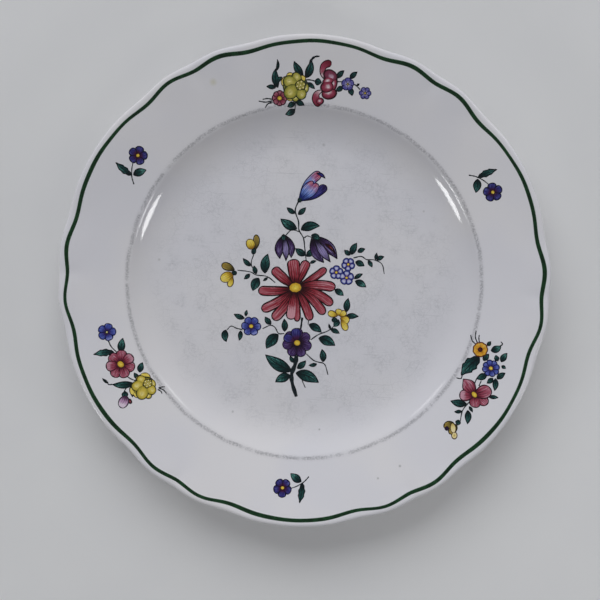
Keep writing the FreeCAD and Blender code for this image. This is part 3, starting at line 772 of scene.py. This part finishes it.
def biscuit_profile():
    """The fired clay under the glaze, which comes out bare on the foot ring."""
    spread = foot_taper * bare_foot_height / foot_depth
    foot = rounded([
        (foot_outer + spread, bare_foot_height, 0), (foot_outer, 0, foot_round * 0.5),
        (foot_inner, 0, foot_round * 0.5), (foot_inner - spread, bare_foot_height, 0),
    ], 6)
    under_glaze = glaze_thickness * 0.7
    outside = inset(plate_outer_profile(), under_glaze)
    return np.vstack([outside, foot, inset(underfloor_profile(), under_glaze)])


def turned(section, name, columns, look, node=None):
    """A closed section in the r-z plane turned round the axis, its edge drawn out into the lobes."""
    turn = np.linspace(0, 2 * np.pi, columns, endpoint=False)
    rings = []
    for radius, height in section:
        shift = lobe_shift(radius, turn)
        reach = radius + shift
        rings.append(np.stack([reach * np.cos(turn), reach * np.sin(turn),
                               height + rim_rise * shift + swell(reach, turn)], -1))
    points = np.concatenate(rings)
    make_mesh(name, points, ring_faces(len(rings), columns), {}, look, node)


def skin(profile):
    """The section of a thin skin of glaze: the profile outside, and its inset inside."""
    return np.vstack([profile, inset(profile, glaze_thickness)[::-1]])


def rim_line_piece():
    """The green line: a thin raised band that follows the lobes."""
    turn = np.linspace(0, 2 * np.pi, 721)[:-1]
    v = np.array([-1, -0.85, -0.5, 0, 0.5, 0.85, 1])
    hand = 0.10 * np.sin(turn * 5 + 1) + 0.07 * np.sin(turn * 13 + 2) + 0.05 * np.sin(turn * 29)
    half = line_width / 2 * (1 + 0.10 * np.sin(turn * 7 + 0.6) + 0.06 * np.sin(turn * 17))
    middle = line_radius + waves(turn, line_waves) + hand
    rows, paint = [], []
    for shares, raised in ((v, True), (v[::-1], False)):
        for share in shares:
            radius = middle + share * half
            lift = line_height * (0.4 + 0.6 * (1 - abs(share) ** 4)) if raised else paint_bed
            rows.append(on_face(radius * np.cos(turn), radius * np.sin(turn), np.full_like(turn, lift)))
            from_edge = half * (1 - abs(share))
            paint.append(np.stack([turn / (2 * np.pi), np.full_like(turn, share), from_edge], -1))
    make_mesh("rim_line_paint", np.concatenate(rows), ring_faces(len(rows), len(turn)),
              {"paint": np.concatenate(paint)}, "line", "rim_line")


# ======== the painting

def paint_leaves(into, rows, kind="leaf"):
    """Leaves from (base x, base y, tip x, tip y, width, bend) rows."""
    for base_x, base_y, tip_x, tip_y, width, bend in rows:
        blade(into, (base_x, base_y), (tip_x, tip_y), width, kind, bend)


def fan(into, base, kind, rows, layer_step, steps):
    """Petals from one base; each (tip, width, bend, tint) row lies on the one before."""
    for index, (tip, width, bend, tint) in enumerate(rows):
        blade(into, base, tip, width, kind, bend, index * layer_step, tint, steps)


class Group:
    """A part of the painting. Its pieces stand for the CAD nodes of the same name, where there are any."""

    def __init__(self, prefix="", node_prefix="", angle=top_lobe):
        self.prefix, self.node_prefix, self.angle = prefix, node_prefix, angle

    def build(self, name, look, into):
        node = self.node_prefix + name
        ending = "_ink" if look == "ink" else "_paint"
        into.build(self.prefix + name + ending, look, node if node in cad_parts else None)

    def lay(self, name, look, *patches):
        """One piece, from drawing functions and what each is given."""
        into = Paint(self.angle)
        for draw, *given in patches:
            draw(into, *given)
        self.build(name, look, into)

    def rose(self, x, y, size, facing, look, lobes):
        """A rose in three pieces, its ball in a look of its own."""
        outer, cups, hearts = Paint(self.angle), Paint(self.angle), Paint(self.angle)
        rose_flower(outer, cups, hearts, x, y, size, facing, lobes)
        self.build("rose", "yellow", outer)
        self.build("rose_cups", look, cups)
        self.build("rose_heart", "heart", hearts)


def centre_bouquet():
    """The bouquet in the well."""
    group = Group()
    group.lay("centre_stems", "ink", *((stroke, points, width * 1.25, width) for points, width in (
        ([(-5, 42), (-6.5, 37), (-4.5, 31.5), (-4, 27), (-1.5, 23), (-0.5, 17.5), (0.5, 11.5)], 0.6),
        ([(-4, 26.3), (-8, 26.8), (-11.5, 23)], 0.5),
        ([(-1.2, 23), (0.5, 24.2), (3, 23.4)], 0.5),
        ([(-15, -1), (-19.5, 2), (-25, 2.5), (-28.5, 4), (-35, 4.5)], 0.5),
        ([(-25, 3), (-28, 8), (-27, 13)], 0.5),
        ([(25, 14), (29, 15), (32, 13.5), (36, 13.5), (40, 11.5), (41.5, 6.5)], 0.5),
        ([(-9, -27.5), (-12, -27.5), (-14, -24.5), (-16.5, -23.5), (-20.5, -25.5)], 0.5),
        ([(-31, -26.5), (-34, -26), (-37, -25), (-39, -27)], 0.5),
        ([(5, -30), (9, -27), (13.5, -25), (16.5, -22.5), (19, -19.5)], 0.5),
        ([(3, -37.5), (7.5, -41), (12, -42), (13.5, -43.5), (15, -48)], 0.5),
        ([(1, -49), (2, -52.5), (3.5, -55.5)], 0.45),
        ([(0, -18.5), (-0.5, -24.5)], 0.9),
        ([(-2, -38.5), (-2.5, -43.5), (-4, -48.5), (-3.5, -53.5), (-1, -60.5)], 1.9),
        ([(3.5, -19.5), (3.2, -22)], 0.4),
    )))
    group.lay("centre_leaves", "leaf", (paint_leaves, [
        (-6.5, 35.5, -11, 38.5, 2.7, 0.2), (-5, 35, -1, 39, 2.9, -0.2), (-5, 27.5, -14, 32.5, 5, 0.5),
        (-3, 27, 6.8, 29.6, 5, 1.2), (0, 14, -5.5, 17.5, 3.8, 0.2), (0.5, 13.5, 4.5, 18, 3.5, -0.2),
        (2.5, 10, 6, 11.5, 1.8, 0.2), (-20.5, 3.5, -19.5, 14, 5.1, 0.7), (-28, 7, -32.5, 11, 2.7, 0.3),
        (-25, 3, -26.5, 7.5, 2.7, 0.2), (-28.5, 3, -31.5, 0, 2.4, 0.2), (-23.5, 1, -26.5, -6, 5, -0.5),
        (-19, 1.5, -21.5, -0.5, 1.6, 0), (23.5, 15.5, 20, 18, 2.7, 0.2), (24, 15.5, 26.5, 22, 3.7, 0.5),
        (27, 17, 31, 19, 2.7, 0.3), (26, 12, 31, 10, 3.4, 0.3), (32.5, 13, 35, 9.5, 2.4, 0.3),
        (36.5, 13.5, 37, 17.5, 1.9, 0), (37, 13.5, 41, 15.5, 2.6, 0.3), (26, 3, 30.5, 6, 2.4, 0.3),
        (26.4, 2, 32.5, -1, 3.8, 0.4), (16, -3, 21, -6, 3.5, 0.3), (23, -14.5, 23.5, -7, 3.7, 0.3),
        (22.5, -17, 29.5, -16.5, 3.2, 0.4), (19, -18.5, 16.5, -22.5, 3.5, 0.3),
        (15, -24, 20, -26, 2.7, 0.3), (15, -24, 14, -21, 1.4, 0), (3.5, -22, 10.5, -26, 4.2, 0.6),
        (9, -29, 18, -32.5, 5.4, 0.7), (12, -41.5, 11, -34.5, 3.7, -0.4), (9, -42.5, 4.5, -43.5, 2.2, 0.3),
        (-30, -20.5, -36, -18.5, 2.9, 0.3), (-29.5, -19.5, -29, -16, 1.9, 0.2),
        (-39.5, -27, -39, -33.5, 3.8, -0.8), (-32, -27, -32.5, -32.5, 2.6, 0.3),
        (-16, -23, -19.5, -19, 3.2, 0.3), (-9, -26.5, -9.5, -19.5, 3.5, -0.3),
        (-12, -28, -18, -36, 5.9, -0.7), (-3, -42.5, -5.5, -39, 2.4, 0.2), (-1.5, -45.5, 3, -41, 3.5, -0.4),
        (-4, -47, -18.5, -39, 6.7, 0.9), (-4.5, -49.5, -12.5, -53.5, 5, -0.6),
        (-2, -48, 10.5, -52.5, 6.3, 0.9),
    ]))
    daisy_x, daisy_y = -4.3, -3.1
    group.lay("daisy_petals", "red", (fan, (daisy_x, daisy_y), "long", (
        ((11.2, 8.0), 4.3, -0.7, 0.3), ((-16.6, 6.6), 5.6, 0.4, 0.45), ((1.2, 11.4), 5.4, 0.2, 0.55),
        ((-6.6, 11.8), 6.9, -0.3, 0.6), ((-23.8, -5.4), 5.4, 1.0, 0.5), ((16.6, -2.0), 5.6, 1.4, 0.62),
        ((-21.6, -15.6), 5.4, 1.2, 0.7), ((15.4, -11.2), 5.2, 1.9, 0.2), ((-15.4, -20.4), 5.8, 1.0, 0.74),
        ((11.4, -16.4), 5.0, 1.6, 0.5), ((4.4, -19.9), 5.0, 0.8, 0.72), ((-2.6, -20.9), 4.0, 0.2, 0.5),
        ((-6.0, -20.0), 5.6, -0.3, 1.0),
    ), 0.5, 26))
    group.lay("daisy_eye", "eye", (disc, daisy_x - 0.1, daisy_y + 0.1, 3.4, 2.7, 8, 9, 0.5, (0, 0), 9, 0.03))
    group.lay("tulip", "tulip",
        (blade, (-4.2, 42.3), (5.8, 57.2), 5.0, "long", 1.7, 1, 0.3, 24),
        (blade, (-4.0, 42.5), (4.6, 51.6), 5.6, "round", -0.4, 4, 0.2, 24),
        (blade, (-4.4, 42.5), (2.2, 52.6), 4.4, "round", 0.7, 5, 0.5, 24))
    group.lay("tulip_dark_petal", "navy",
        (blade, (-3.4, 42.6), (8.9, 50.8), 4.6, "long", -1.0, 0, 0.3, 24),
        (blade, (3.2, 56.8), (8.3, 54.2), 2.0, "leaf", 0.7, 3, 0.2))
    group.lay("left_bellflower", "plum", (fan, (-11.6, 23.6), "pointed", (
        ((-7.4, 12.4), 5.0, 1.3, 0.2), ((-13.2, 11.6), 5.2, -1.2, 0.3)), 2, 22))
    group.lay("right_bellflower", "plum", (fan, (3.6, 23.6), "pointed", (
        ((16.6, 13.0), 6.0, 1.5, 0.3), ((9.8, 10.8), 6.0, -1.5, 0.1)), 2, 22))
    group.lay("bellflower_middle_petals", "bell",
        (blade, (-11.4, 23.2), (-10.0, 10.6), 4.0, "pointed", 0.3, 5, 0.4, 22),
        (blade, (4.2, 23.0), (13.2, 11.2), 4.6, "pointed", -0.2, 5, 0.2, 22))
    group.lay("right_bellflower_flank", "red", (blade, (9.6, 20.6), (15.6, 15.2), 1.9, "leaf", 0.9, 7, 0.9))
    group.lay("bud_calyxes", "leaf",
        (blade, (2.4, 24.6), (7.4, 22.4), 3.6, "leaf", 0.4, 6),
        (blade, (-12, 24.6), (-11.6, 20.8), 2.8, "leaf", 0.0, 6),
        (disc, -4.3, 42.7, 1.5, 1.2, 60, 6),
        (disc, -27, 14.8, 1.7, 1.3, 80, 6),
        (disc, -36.6, 3, 1.4, 1.3, 0, 6),
        (disc, 16.9, -18.9, 1.6, 1.4, 0, 6))
    group.lay("forget_me_nots", "forget",
        (rosette, 16.5, 6, 3.8, 5, 90, 3.7, "round", 1, (0.1, 0.5, 0.3)),
        (rosette, 22.5, 10.5, 3.7, 5, 54, 3.6, "round", 2, (0.7, 0.4, 0.6)),
        (rosette, 22, 3.5, 4.0, 5, 18, 3.9, "round", 3, (0.6, 0.5, 0.7)))
    group.lay("blue_flower", "blue", (rosette, -26.5, -24.5, 5.3, 6, 0, 4.3, "round", 1))
    purple_tints = (0.5, 0.3, 0.2, 0.4, 0.15, 0.25)
    group.lay("purple_flower", "purple", (rosette, -2, -32, 7.9, 7, 38, 5.7, "round", 1, purple_tints))
    group.lay("purple_flower_blue_petals", "indigo",
        (blade, (-2.3, -31), (-3.2, -24.2), 5.8, "round", 0, 5, 0.4),
        (blade, (-3.1, -31.4), (-9.2, -28.8), 5.2, "round", 0, 4, 0.1))
    group.lay("flower_eyes", "eye", *((disc, x, y, size, size * 0.9, 0, 8) for x, y, size in (
        (-26.5, -24.5, 1.3), (-2, -32, 1.8), (16.5, 6, 0.9), (22.5, 10.5, 0.9), (22, 3.5, 0.9))))
    petals = enumerate((
        ((18.4, -16.6), (13.2, -15.2), 3.8), ((18.6, -16.6), (19.2, -12.9), 4.0),
        ((19.4, -16.8), (22.8, -14.2), 3.6), ((20.0, -17.4), (24.6, -19.6), 4.6),
        ((20.6, -18.4), (23.6, -24.2), 3.8)))
    group.lay("buttercup", "yellow", *((blade, *petal, "round", 0, layer, 0.4) for layer, petal in petals))
    group.lay("yellow_buds", "yellow",
        (blade, (-27.4, 16), (-29.4, 21.2), 5.0, "bowl", 0.4, 2, 0.2),
        (blade, (-37.4, 2.6), (-43.8, -0.8), 5.6, "bowl", 0.3, 2, 0.3),
        (blade, (-37.6, 0.8), (-39.4, -4.4), 3.4, "round", 0.3, 3, 0.2))
    group.lay("yellow_bud_backs", "olive",
        (blade, (-26.6, 15.6), (-26.4, 23.6), 3.6, "round", -0.7, 0, 0.1),
        (blade, (-36.8, 4.2), (-43.6, 6.6), 4.4, "round", -0.6, 0, 0.1))


def step_towards(angle, reach):
    """A step of that reach in a direction given in degrees."""
    return reach * math.cos(math.radians(angle)), reach * math.sin(math.radians(angle))


def rose_flower(outer, cups, hearts, x, y, size, facing, lobes):
    """A cabbage rose: yellow lobes behind a ball of broad shaded petals, with a dotted heart."""

    def at(angle, reach):
        turn = math.radians(facing + angle)
        return x + size * reach * math.cos(turn), y + size * reach * math.sin(turn)

    for layer, (angle, reach, wide) in enumerate(lobes):
        blade(outer, (x, y), at(angle, reach), size * wide, "round", 0, layer, 0.3)
    disc(cups, x, y, size * 0.95, size * 0.90, facing, 4, 0.3,
         step_towards(facing + 180, size * 0.3), 5, 0.02)
    for layer, (angle, reach, long, wide, lean) in enumerate((
        (250, 0.56, 0.52, 0.36, 250), (335, 0.60, 0.40, 0.44, 330), (62, 0.58, 0.50, 0.40, 90),
        (118, 0.46, 0.62, 0.50, 138), (292, 0.56, 0.50, 0.44, 262), (206, 0.42, 0.64, 0.54, 204),
    )):
        px, py = at(angle, reach)
        disc(cups, px, py, size * long, size * wide, facing + lean, 5 + layer, 0.3,
             step_towards(facing + angle, size * 0.20))
    px, py = at(0, 0.40)
    disc(cups, px, py, size * 0.46, size * 0.42, facing, 14, 0.3, (0, 0), 5, 0.06)
    for step in range(7):
        turn = math.radians(step * 60 + 20)
        reach = 0.25 * size if step else 0
        disc(hearts, px + reach * math.cos(turn), py + reach * math.sin(turn), size * 0.135, layer=20)


def top_spray():
    """Yellow rose, small daisy, red pea flower and two blue flowers."""
    group = Group("top_", "top_spray_", top_lobe)
    group.rose(-9.2, 99.4, 6.9, 22, "cup", (
        (98, 1.14, 0.7), (132, 1.16, 0.9), (218, 1.12, 0.9), (244, 1.04, 0.6), (30, 1.04, 0.6),
        (292, 1.06, 0.6)))
    group.lay("daisy", "rose", (rosette, -17, 93.5, 4.0, 8, 0, 3.4, "round", 1, (0.2, 0.6, 0.4)))
    upper_curl = [(8.4, 111.0), (6.4, 111.4), (4.7, 110.4), (3.9, 108.3), (3.9, 106.2), (5.0, 103.9)]
    lower_curl = [(4.4, 91.6), (2.4, 92.6), (1.3, 94.4), (1.9, 96.8), (4.8, 98.6)]
    group.lay("pea_flower", "berry",
        (comma, upper_curl, 4.0, 1, 0.2),
        (comma, lower_curl, 4.8, 1, 0.2),
        (disc, 3.5, 93.0, 2.1, 1.8, 20, 3, 0.2, (-0.3, 0.3)),
        (disc, 8.0, 97.0, 4.0, 3.0, 12, 2, 0.1, (-0.8, 0.9)),
        (disc, 10.1, 102.0, 1.8, 3.8, -6, 3, 0.1, (-0.6, 0.0)),
        (disc, 7.2, 103.0, 3.2, 2.1, 20, 5, 0.3, (-0.6, 0.4)),
        (disc, 6.6, 100.2, 3.5, 2.9, 20, 6, 0.3, (0.7, 0.2)))
    group.lay("pea_flower_hood", "mulberry", (disc, 8.0, 105.8, 3.8, 2.9, -24, 4, 0.2, (0.8, -0.6)))
    group.lay("blue_flowers", "lilac",
        (rosette, 17, 102, 3.3, 5, 90, 3.4, "round", 2),
        (rosette, 26, 98, 3.2, 6, 0, 2.6, "round", 2))
    group.lay("eyes", "eye",
        (disc, -17, 93.5, 1.3, 1.2, 0, 8),
        (disc, 17, 102, 0.5, 0.5, 0, 8),
        (disc, 26, 98, 0.6, 0.6, 0, 8))
    group.lay("leaves", "leaf", (paint_leaves, [
        (-18, 98.5, -19.5, 108, 3.8, 0.8), (-19.3, 106.6, -19.0, 112.5, 1.7, -0.7),
        (-19.5, 101, -16, 104, 2.6, 0.2), (-19, 98.5, -24, 98.8, 2.5, -0.2),
        (-5.5, 105, -10.5, 112, 3.8, 0.6), (-4.5, 104, -1.8, 112.8, 4.2, -0.8),
        (-3.5, 101.8, 0.7, 98.8, 2.4, 0.2), (11.5, 104.5, 15, 108.6, 2.9, 0.3),
        (18, 104.5, 21.6, 108.2, 2.8, 0.3), (14.6, 101, 11, 98.4, 2.8, 0.3),
        (17.5, 100, 19.5, 96.3, 3.0, 0.5), (21.5, 101.5, 23, 102.5, 1.3, 0),
        (-9.5, 92, -13, 89.5, 3.0, 0.3), (-9, 92, -4.3, 90.5, 3.0, 0.4), (-9, 88.6, -14, 85.8, 3.3, 0.5),
        (0.2, 102.7, 4.0, 102.2, 3.6, 0.0),
    ]))
    group.lay("stems", "ink", (strokes, (
        [(-20.5, 92.7), (-23, 93), (-25.5, 92.5)], [(-20.5, 92), (-24, 91.2), (-27.5, 91.5)],
        [(-20.5, 91.2), (-22.8, 90.4), (-24, 88.5)], [(-5, 103), (-2, 103.2), (0.5, 102.7)],
        [(11, 103), (14, 103)], [(19, 102), (21, 101.7), (23.4, 99.6)], [(-9, 92.6), (-9, 88.3)],
    ), 0.7, 0.55), (stroke, [(-2.4, 111.2), (-1.6, 113.2), (0.0, 114.5), (2.2, 114.8)], 1.5, 0.7))


def left_spray():
    """Blue flower, red flower, yellow rose and a mauve bud."""
    group = Group("left_", "left_spray_", left_lobe)
    group.rose(-10.2, 98.0, 6.2, 290, "gold", (
        (40, 1.22, 1.0), (70, 1.12, 0.8), (150, 1.24, 0.9), (176, 1.10, 0.8), (250, 1.04, 0.7)))
    group.lay("red_flower", "rose", (rosette, 6, 103, 7.5, 7, 20, 5.9, "round", 1, (0.3, 0.85, 0.2, 0.5)))
    blue_tints = (0.2, 0.5, 0.9, 0.6, 0.1)
    group.lay("blue_flower", "blue", (rosette, 24, 101.5, 4.7, 5, 30, 4.4, "round", 1, blue_tints))
    group.lay("eyes", "eye", (disc, 6, 103, 2.0, 1.6, 20, 8))
    group.lay("blue_eye", "heart", (disc, 24, 101.5, 0.8, 0.8, 0, 8))
    group.lay("bud", "mauve", (blade, (-9.6, 108), (-13.6, 113.2), 5.4, "bowl", 0.4, 2, 0.9))
    group.lay("bud_side", "red", (blade, (-11.6, 107.6), (-14.6, 107.4), 2.2, "bowl", 0.0, 0, 0.2))
    group.lay("leaves", "leaf", (paint_leaves, [
        (11, 100, 17.6, 95.8, 4.0, 0.4), (-2.5, 96.5, 1.6, 92.8, 3.4, 0.4), (-5, 98.5, -1, 99, 2.4, 0.2),
        (-6, 101.5, -1, 111.5, 3.9, 0.6), (0.2, 112.6, 4.2, 114.2, 1.5, 0.2),
        (-6, 103.5, -12, 105.5, 3.0, 0.4), (-7.3, 107.2, -10.8, 109.2, 3.4, 0.0),
    ]), (paint_leaves, [(13, 103, 17, 112.7, 4.4, -0.4)], "serrated"))
    group.lay("stems", "ink", (strokes, (
        [(19.8, 102.8), (16.5, 103), (12, 101.8)], [(0, 103.5), (-3, 102), (-5.5, 100)],
        [(-5.5, 103.5), (-6.2, 106), (-7.5, 108)], [(-1.2, 111.2), (-0.4, 112.8), (0.8, 113)],
        [(-14, 91.8), (-14.4, 90.2), (-15, 88.8)], [(-14.2, 91.8), (-16, 90.2), (-18.5, 89.5)],
        [(-14.5, 92.5), (-16, 91.6), (-17.5, 91.5)],
    ), 0.65, 0.5))


def right_spray():
    """Orange daisy, blue flower, red flower and a cream pea bud."""
    group = Group("right_", "right_spray_", right_lobe)
    group.lay("daisy", "orange", (disc, -21, 94.5, 4.1, 3.9, 0, 1, 0.4, (0, 0), 9, 0.03))
    group.lay("blue_flower", "blue", (rosette, -16, 104, 4.5, 8, 0, 3.4, "round", 1, (0.3, 0.8, 0.2)))
    middle = (0.1, 104.4)
    group.lay("red_flower", "rose",
        (blade, middle, (0.5, 112.6), 5.8, "round", 0.3, 0, 0.6, 22),
        (blade, middle, (5.6, 108.2), 6.0, "round", 0.3, 1, 0.2, 22),
        (blade, middle, (4.6, 98.4), 6.2, "round", 0.2, 2, 0.9, 22),
        (blade, middle, (-3.5, 95.6), 7.0, "pointed", -0.3, 3, 0.7, 22),
        (blade, middle, (-7.4, 109.6), 7.2, "round", -0.4, 4, 0.5, 22))
    group.lay("eyes", "eye", (disc, 0, 104.5, 1.9, 1.3, 70, 8), (disc, -16, 104, 1.1, 1.2, 0, 8))
    group.lay("daisy_eye", "red", (disc, -21, 94.5, 1.2, 1.2, 0, 8))
    group.lay("bud", "olive",
        (blade, (17.8, 103.4), (21.8, 100.0), 4.4, "bowl", 0.9, 0, 0.1),
        (blade, (18.0, 105.6), (24.0, 105.4), 4.2, "bowl", -0.4, 1, 0.2))
    group.lay("bud_cream", "cream",
        (blade, (18.6, 103.2), (22.6, 106.4), 3.2, "bowl", 0.2, 3, 0.9),
        (disc, 23.2, 107.4, 2.0, 1.6, 30, 2, 0.9))
    group.lay("bud_spot", "purple", (disc, 22.4, 102.4, 1.2, 1.1, 0, 4))
    group.lay("leaves", "leaf", (paint_leaves, [
        (-24.5, 96.5, -27.6, 96.6, 2.2, 0.1), (-23.5, 99, -28.6, 101.9, 3.8, -0.5),
        (-21.5, 106.5, -27.2, 106.4, 3.3, 0.3), (-20, 107.5, -20, 110.2, 2.0, 0.1),
        (-13, 109.5, -18.2, 111.2, 3.1, 0.3), (-13, 108.5, -7.3, 111.7, 3.1, 0.3),
        (-21, 105, -23.2, 102.3, 2.7, 0.2), (-17, 99, -21.7, 99.3, 3.1, 0.2),
        (-12.5, 107.5, -8.3, 106.4, 2.7, 0.2), (-12.5, 104, -7.3, 100.8, 3.6, 0.3),
        (6, 104, 9.6, 96.3, 4.1, 0.5), (10.5, 104, 13.2, 100.8, 2.0, 0.2),
        (8.5, 106, 14.7, 109.7, 3.5, 0.3), (6.5, 105.5, 8.1, 108.7, 1.8, 0.1),
        (-3, 111, -5.6, 115.2, 2.2, 0.2), (15.2, 105.0, 18.2, 105.9, 2.9, 0.0),
    ]), (paint_leaves, [(-17.5, 96.5, -4.3, 93.8, 8.0, -0.6)], "serrated"))
    group.lay("stems", "ink", (strokes, (
        [(-22, 91), (-22.6, 88.6), (-24.5, 86.5)], [(-23.2, 91.2), (-25, 89), (-28, 87.5)],
        [(-24, 92), (-25.4, 90.8), (-27, 90)], [(-28, 101.5), (-29.6, 102), (-30.2, 100.6)],
        [(-4.8, 94.2), (-3, 94.6), (-2, 92.5)], [(-5, 101.5), (-8, 101)], [(-5, 104), (-8, 103.5)],
        [(4, 104.5), (10, 104), (15.5, 106)],
    ), 0.65, 0.5))


def sprigs():
    """Three single blue flowers between the sprays."""
    flowers, eyes, leaves, stems = Paint(), Paint(), Paint(), Paint()
    for angle in sprig_angles:
        for part in (flowers, eyes, leaves, stems):
            part.turn_to(angle)
        rosette(flowers, 0, 106.5, 4.9, 5, 20, 4.5, "round", 1, (0.3, 0.1, 0.5, 0.7, 0.2))
        disc(eyes, 0, 106.5, 1.1, 1.0, 0, 8)
        paint_leaves(leaves, [(-10, 103, -9.5, 113.2, 4.2, 0.3)], "serrated")
        paint_leaves(leaves, [(-9.5, 102.5, -3.3, 98.8, 4.2, 0.3)])
        stroke(stems, [(-4.4, 106.3), (-7.5, 104.8), (-10.5, 102.6), (-11.6, 101.4), (-13, 99.5)], 0.5, 0.6)
    group = Group("sprig_", "sprig_")
    for name, look, into in (("flowers", "indigo", flowers), ("eyes", "eye", eyes),
                             ("leaves", "leaf", leaves), ("stems", "ink", stems)):
        group.build(name, look, into)


# ======== camera, floor and light

def camera(tilt=5.3, pan=1.1, roll=3.0, distance=0.62, view_width=0.306, off_right=-1.85, off_up=-7.9):
    """Looks down on the plate from nearly straight above, a little from its top and right."""
    level = Vector((0, 0, 1))
    up = Vector((-math.sin(math.radians(roll)), math.cos(math.radians(roll)), 0))
    side = up.cross(level)
    target = side * off_right * MM + up * off_up * MM + Vector((0, 0, 0.022))
    lean, swing = math.sin(math.radians(tilt)), math.sin(math.radians(pan))
    back = up * lean + side * swing + level * math.sqrt(1 - lean ** 2 - swing ** 2)
    right = (side - back * side.dot(back)).normalized()
    data = bpy.data.cameras.new("camera")
    data.sensor_width = 36
    data.lens = 36 * distance / view_width
    data.clip_start = 0.01
    eye = bpy.data.objects.new("camera", data)
    bpy.context.scene.collection.objects.link(eye)
    turned = Matrix((right, back.cross(right), back)).transposed().to_4x4()
    eye.matrix_world = Matrix.Translation(target + back * distance) @ turned
    bpy.context.scene.camera = eye


def panel(name, azimuth, elevation, distance, width, height, power, colour=(1, 1, 1)):
    """A soft box aimed at the plate."""
    data = bpy.data.lights.new(name, "AREA")
    data.shape = "ELLIPSE"
    data.size, data.size_y = width, height
    data.energy, data.color = power, colour
    lamp = bpy.data.objects.new(name, data)
    bpy.context.scene.collection.objects.link(lamp)
    around, up = math.radians(azimuth), math.radians(elevation)
    level = math.cos(up)
    place = Vector((level * math.cos(around), level * math.sin(around), math.sin(up))) * distance
    lamp.location = place + Vector((0, 0, 0.01))
    lamp.rotation_euler = place.to_track_quat("Z", "Y").to_euler()
    return lamp


def surroundings():
    """Floor, soft boxes and an even sky."""
    bpy.ops.mesh.primitive_plane_add(size=6)
    floor = bpy.context.object
    floor.name = "floor"
    floor.data.materials.append(floor_material())
    panel("window", 102, 37, 2.6, 3.0, 1.8, 44.5, (0.957, 0.972, 1.0)).visible_glossy = False
    panel("low_fill", 300, 60, 0.42, 0.34, 0.18, 0.13).visible_glossy = False
    panel("streak_right", 334, 24, 0.85, 0.215, 0.14, 0.65)
    panel("streak_left", 217, 24, 0.85, 0.215, 0.14, 0.65)
    panel("faint_right", 42, 16, 1.0, 0.5, 0.18, 0.6)
    panel("faint_left", 143, 16, 1.0, 0.4, 0.18, 0.3)
    world = bpy.data.worlds.new("studio")
    world.use_nodes = True
    sky = world.node_tree.nodes["Background"]
    sky.inputs["Color"].default_value = (0.90, 0.92, 0.97, 1)
    sky.inputs["Strength"].default_value = 0.17
    bpy.context.scene.world = world
    bpy.context.scene.view_settings.view_transform = "Standard"


# ======== build

camera()
surroundings()
turned(biscuit_profile(), "biscuit_body", body_columns, "biscuit", "china_body")
turned(skin(plate_outer_profile()), "glaze_face_and_back", glaze_columns, "glaze", "glaze_coat")
turned(skin(underfloor_profile()), "glaze_inside_foot", floor_columns, "glaze")
rim_line_piece()
centre_bouquet()
top_spray()
left_spray()
right_spray()
sprigs()
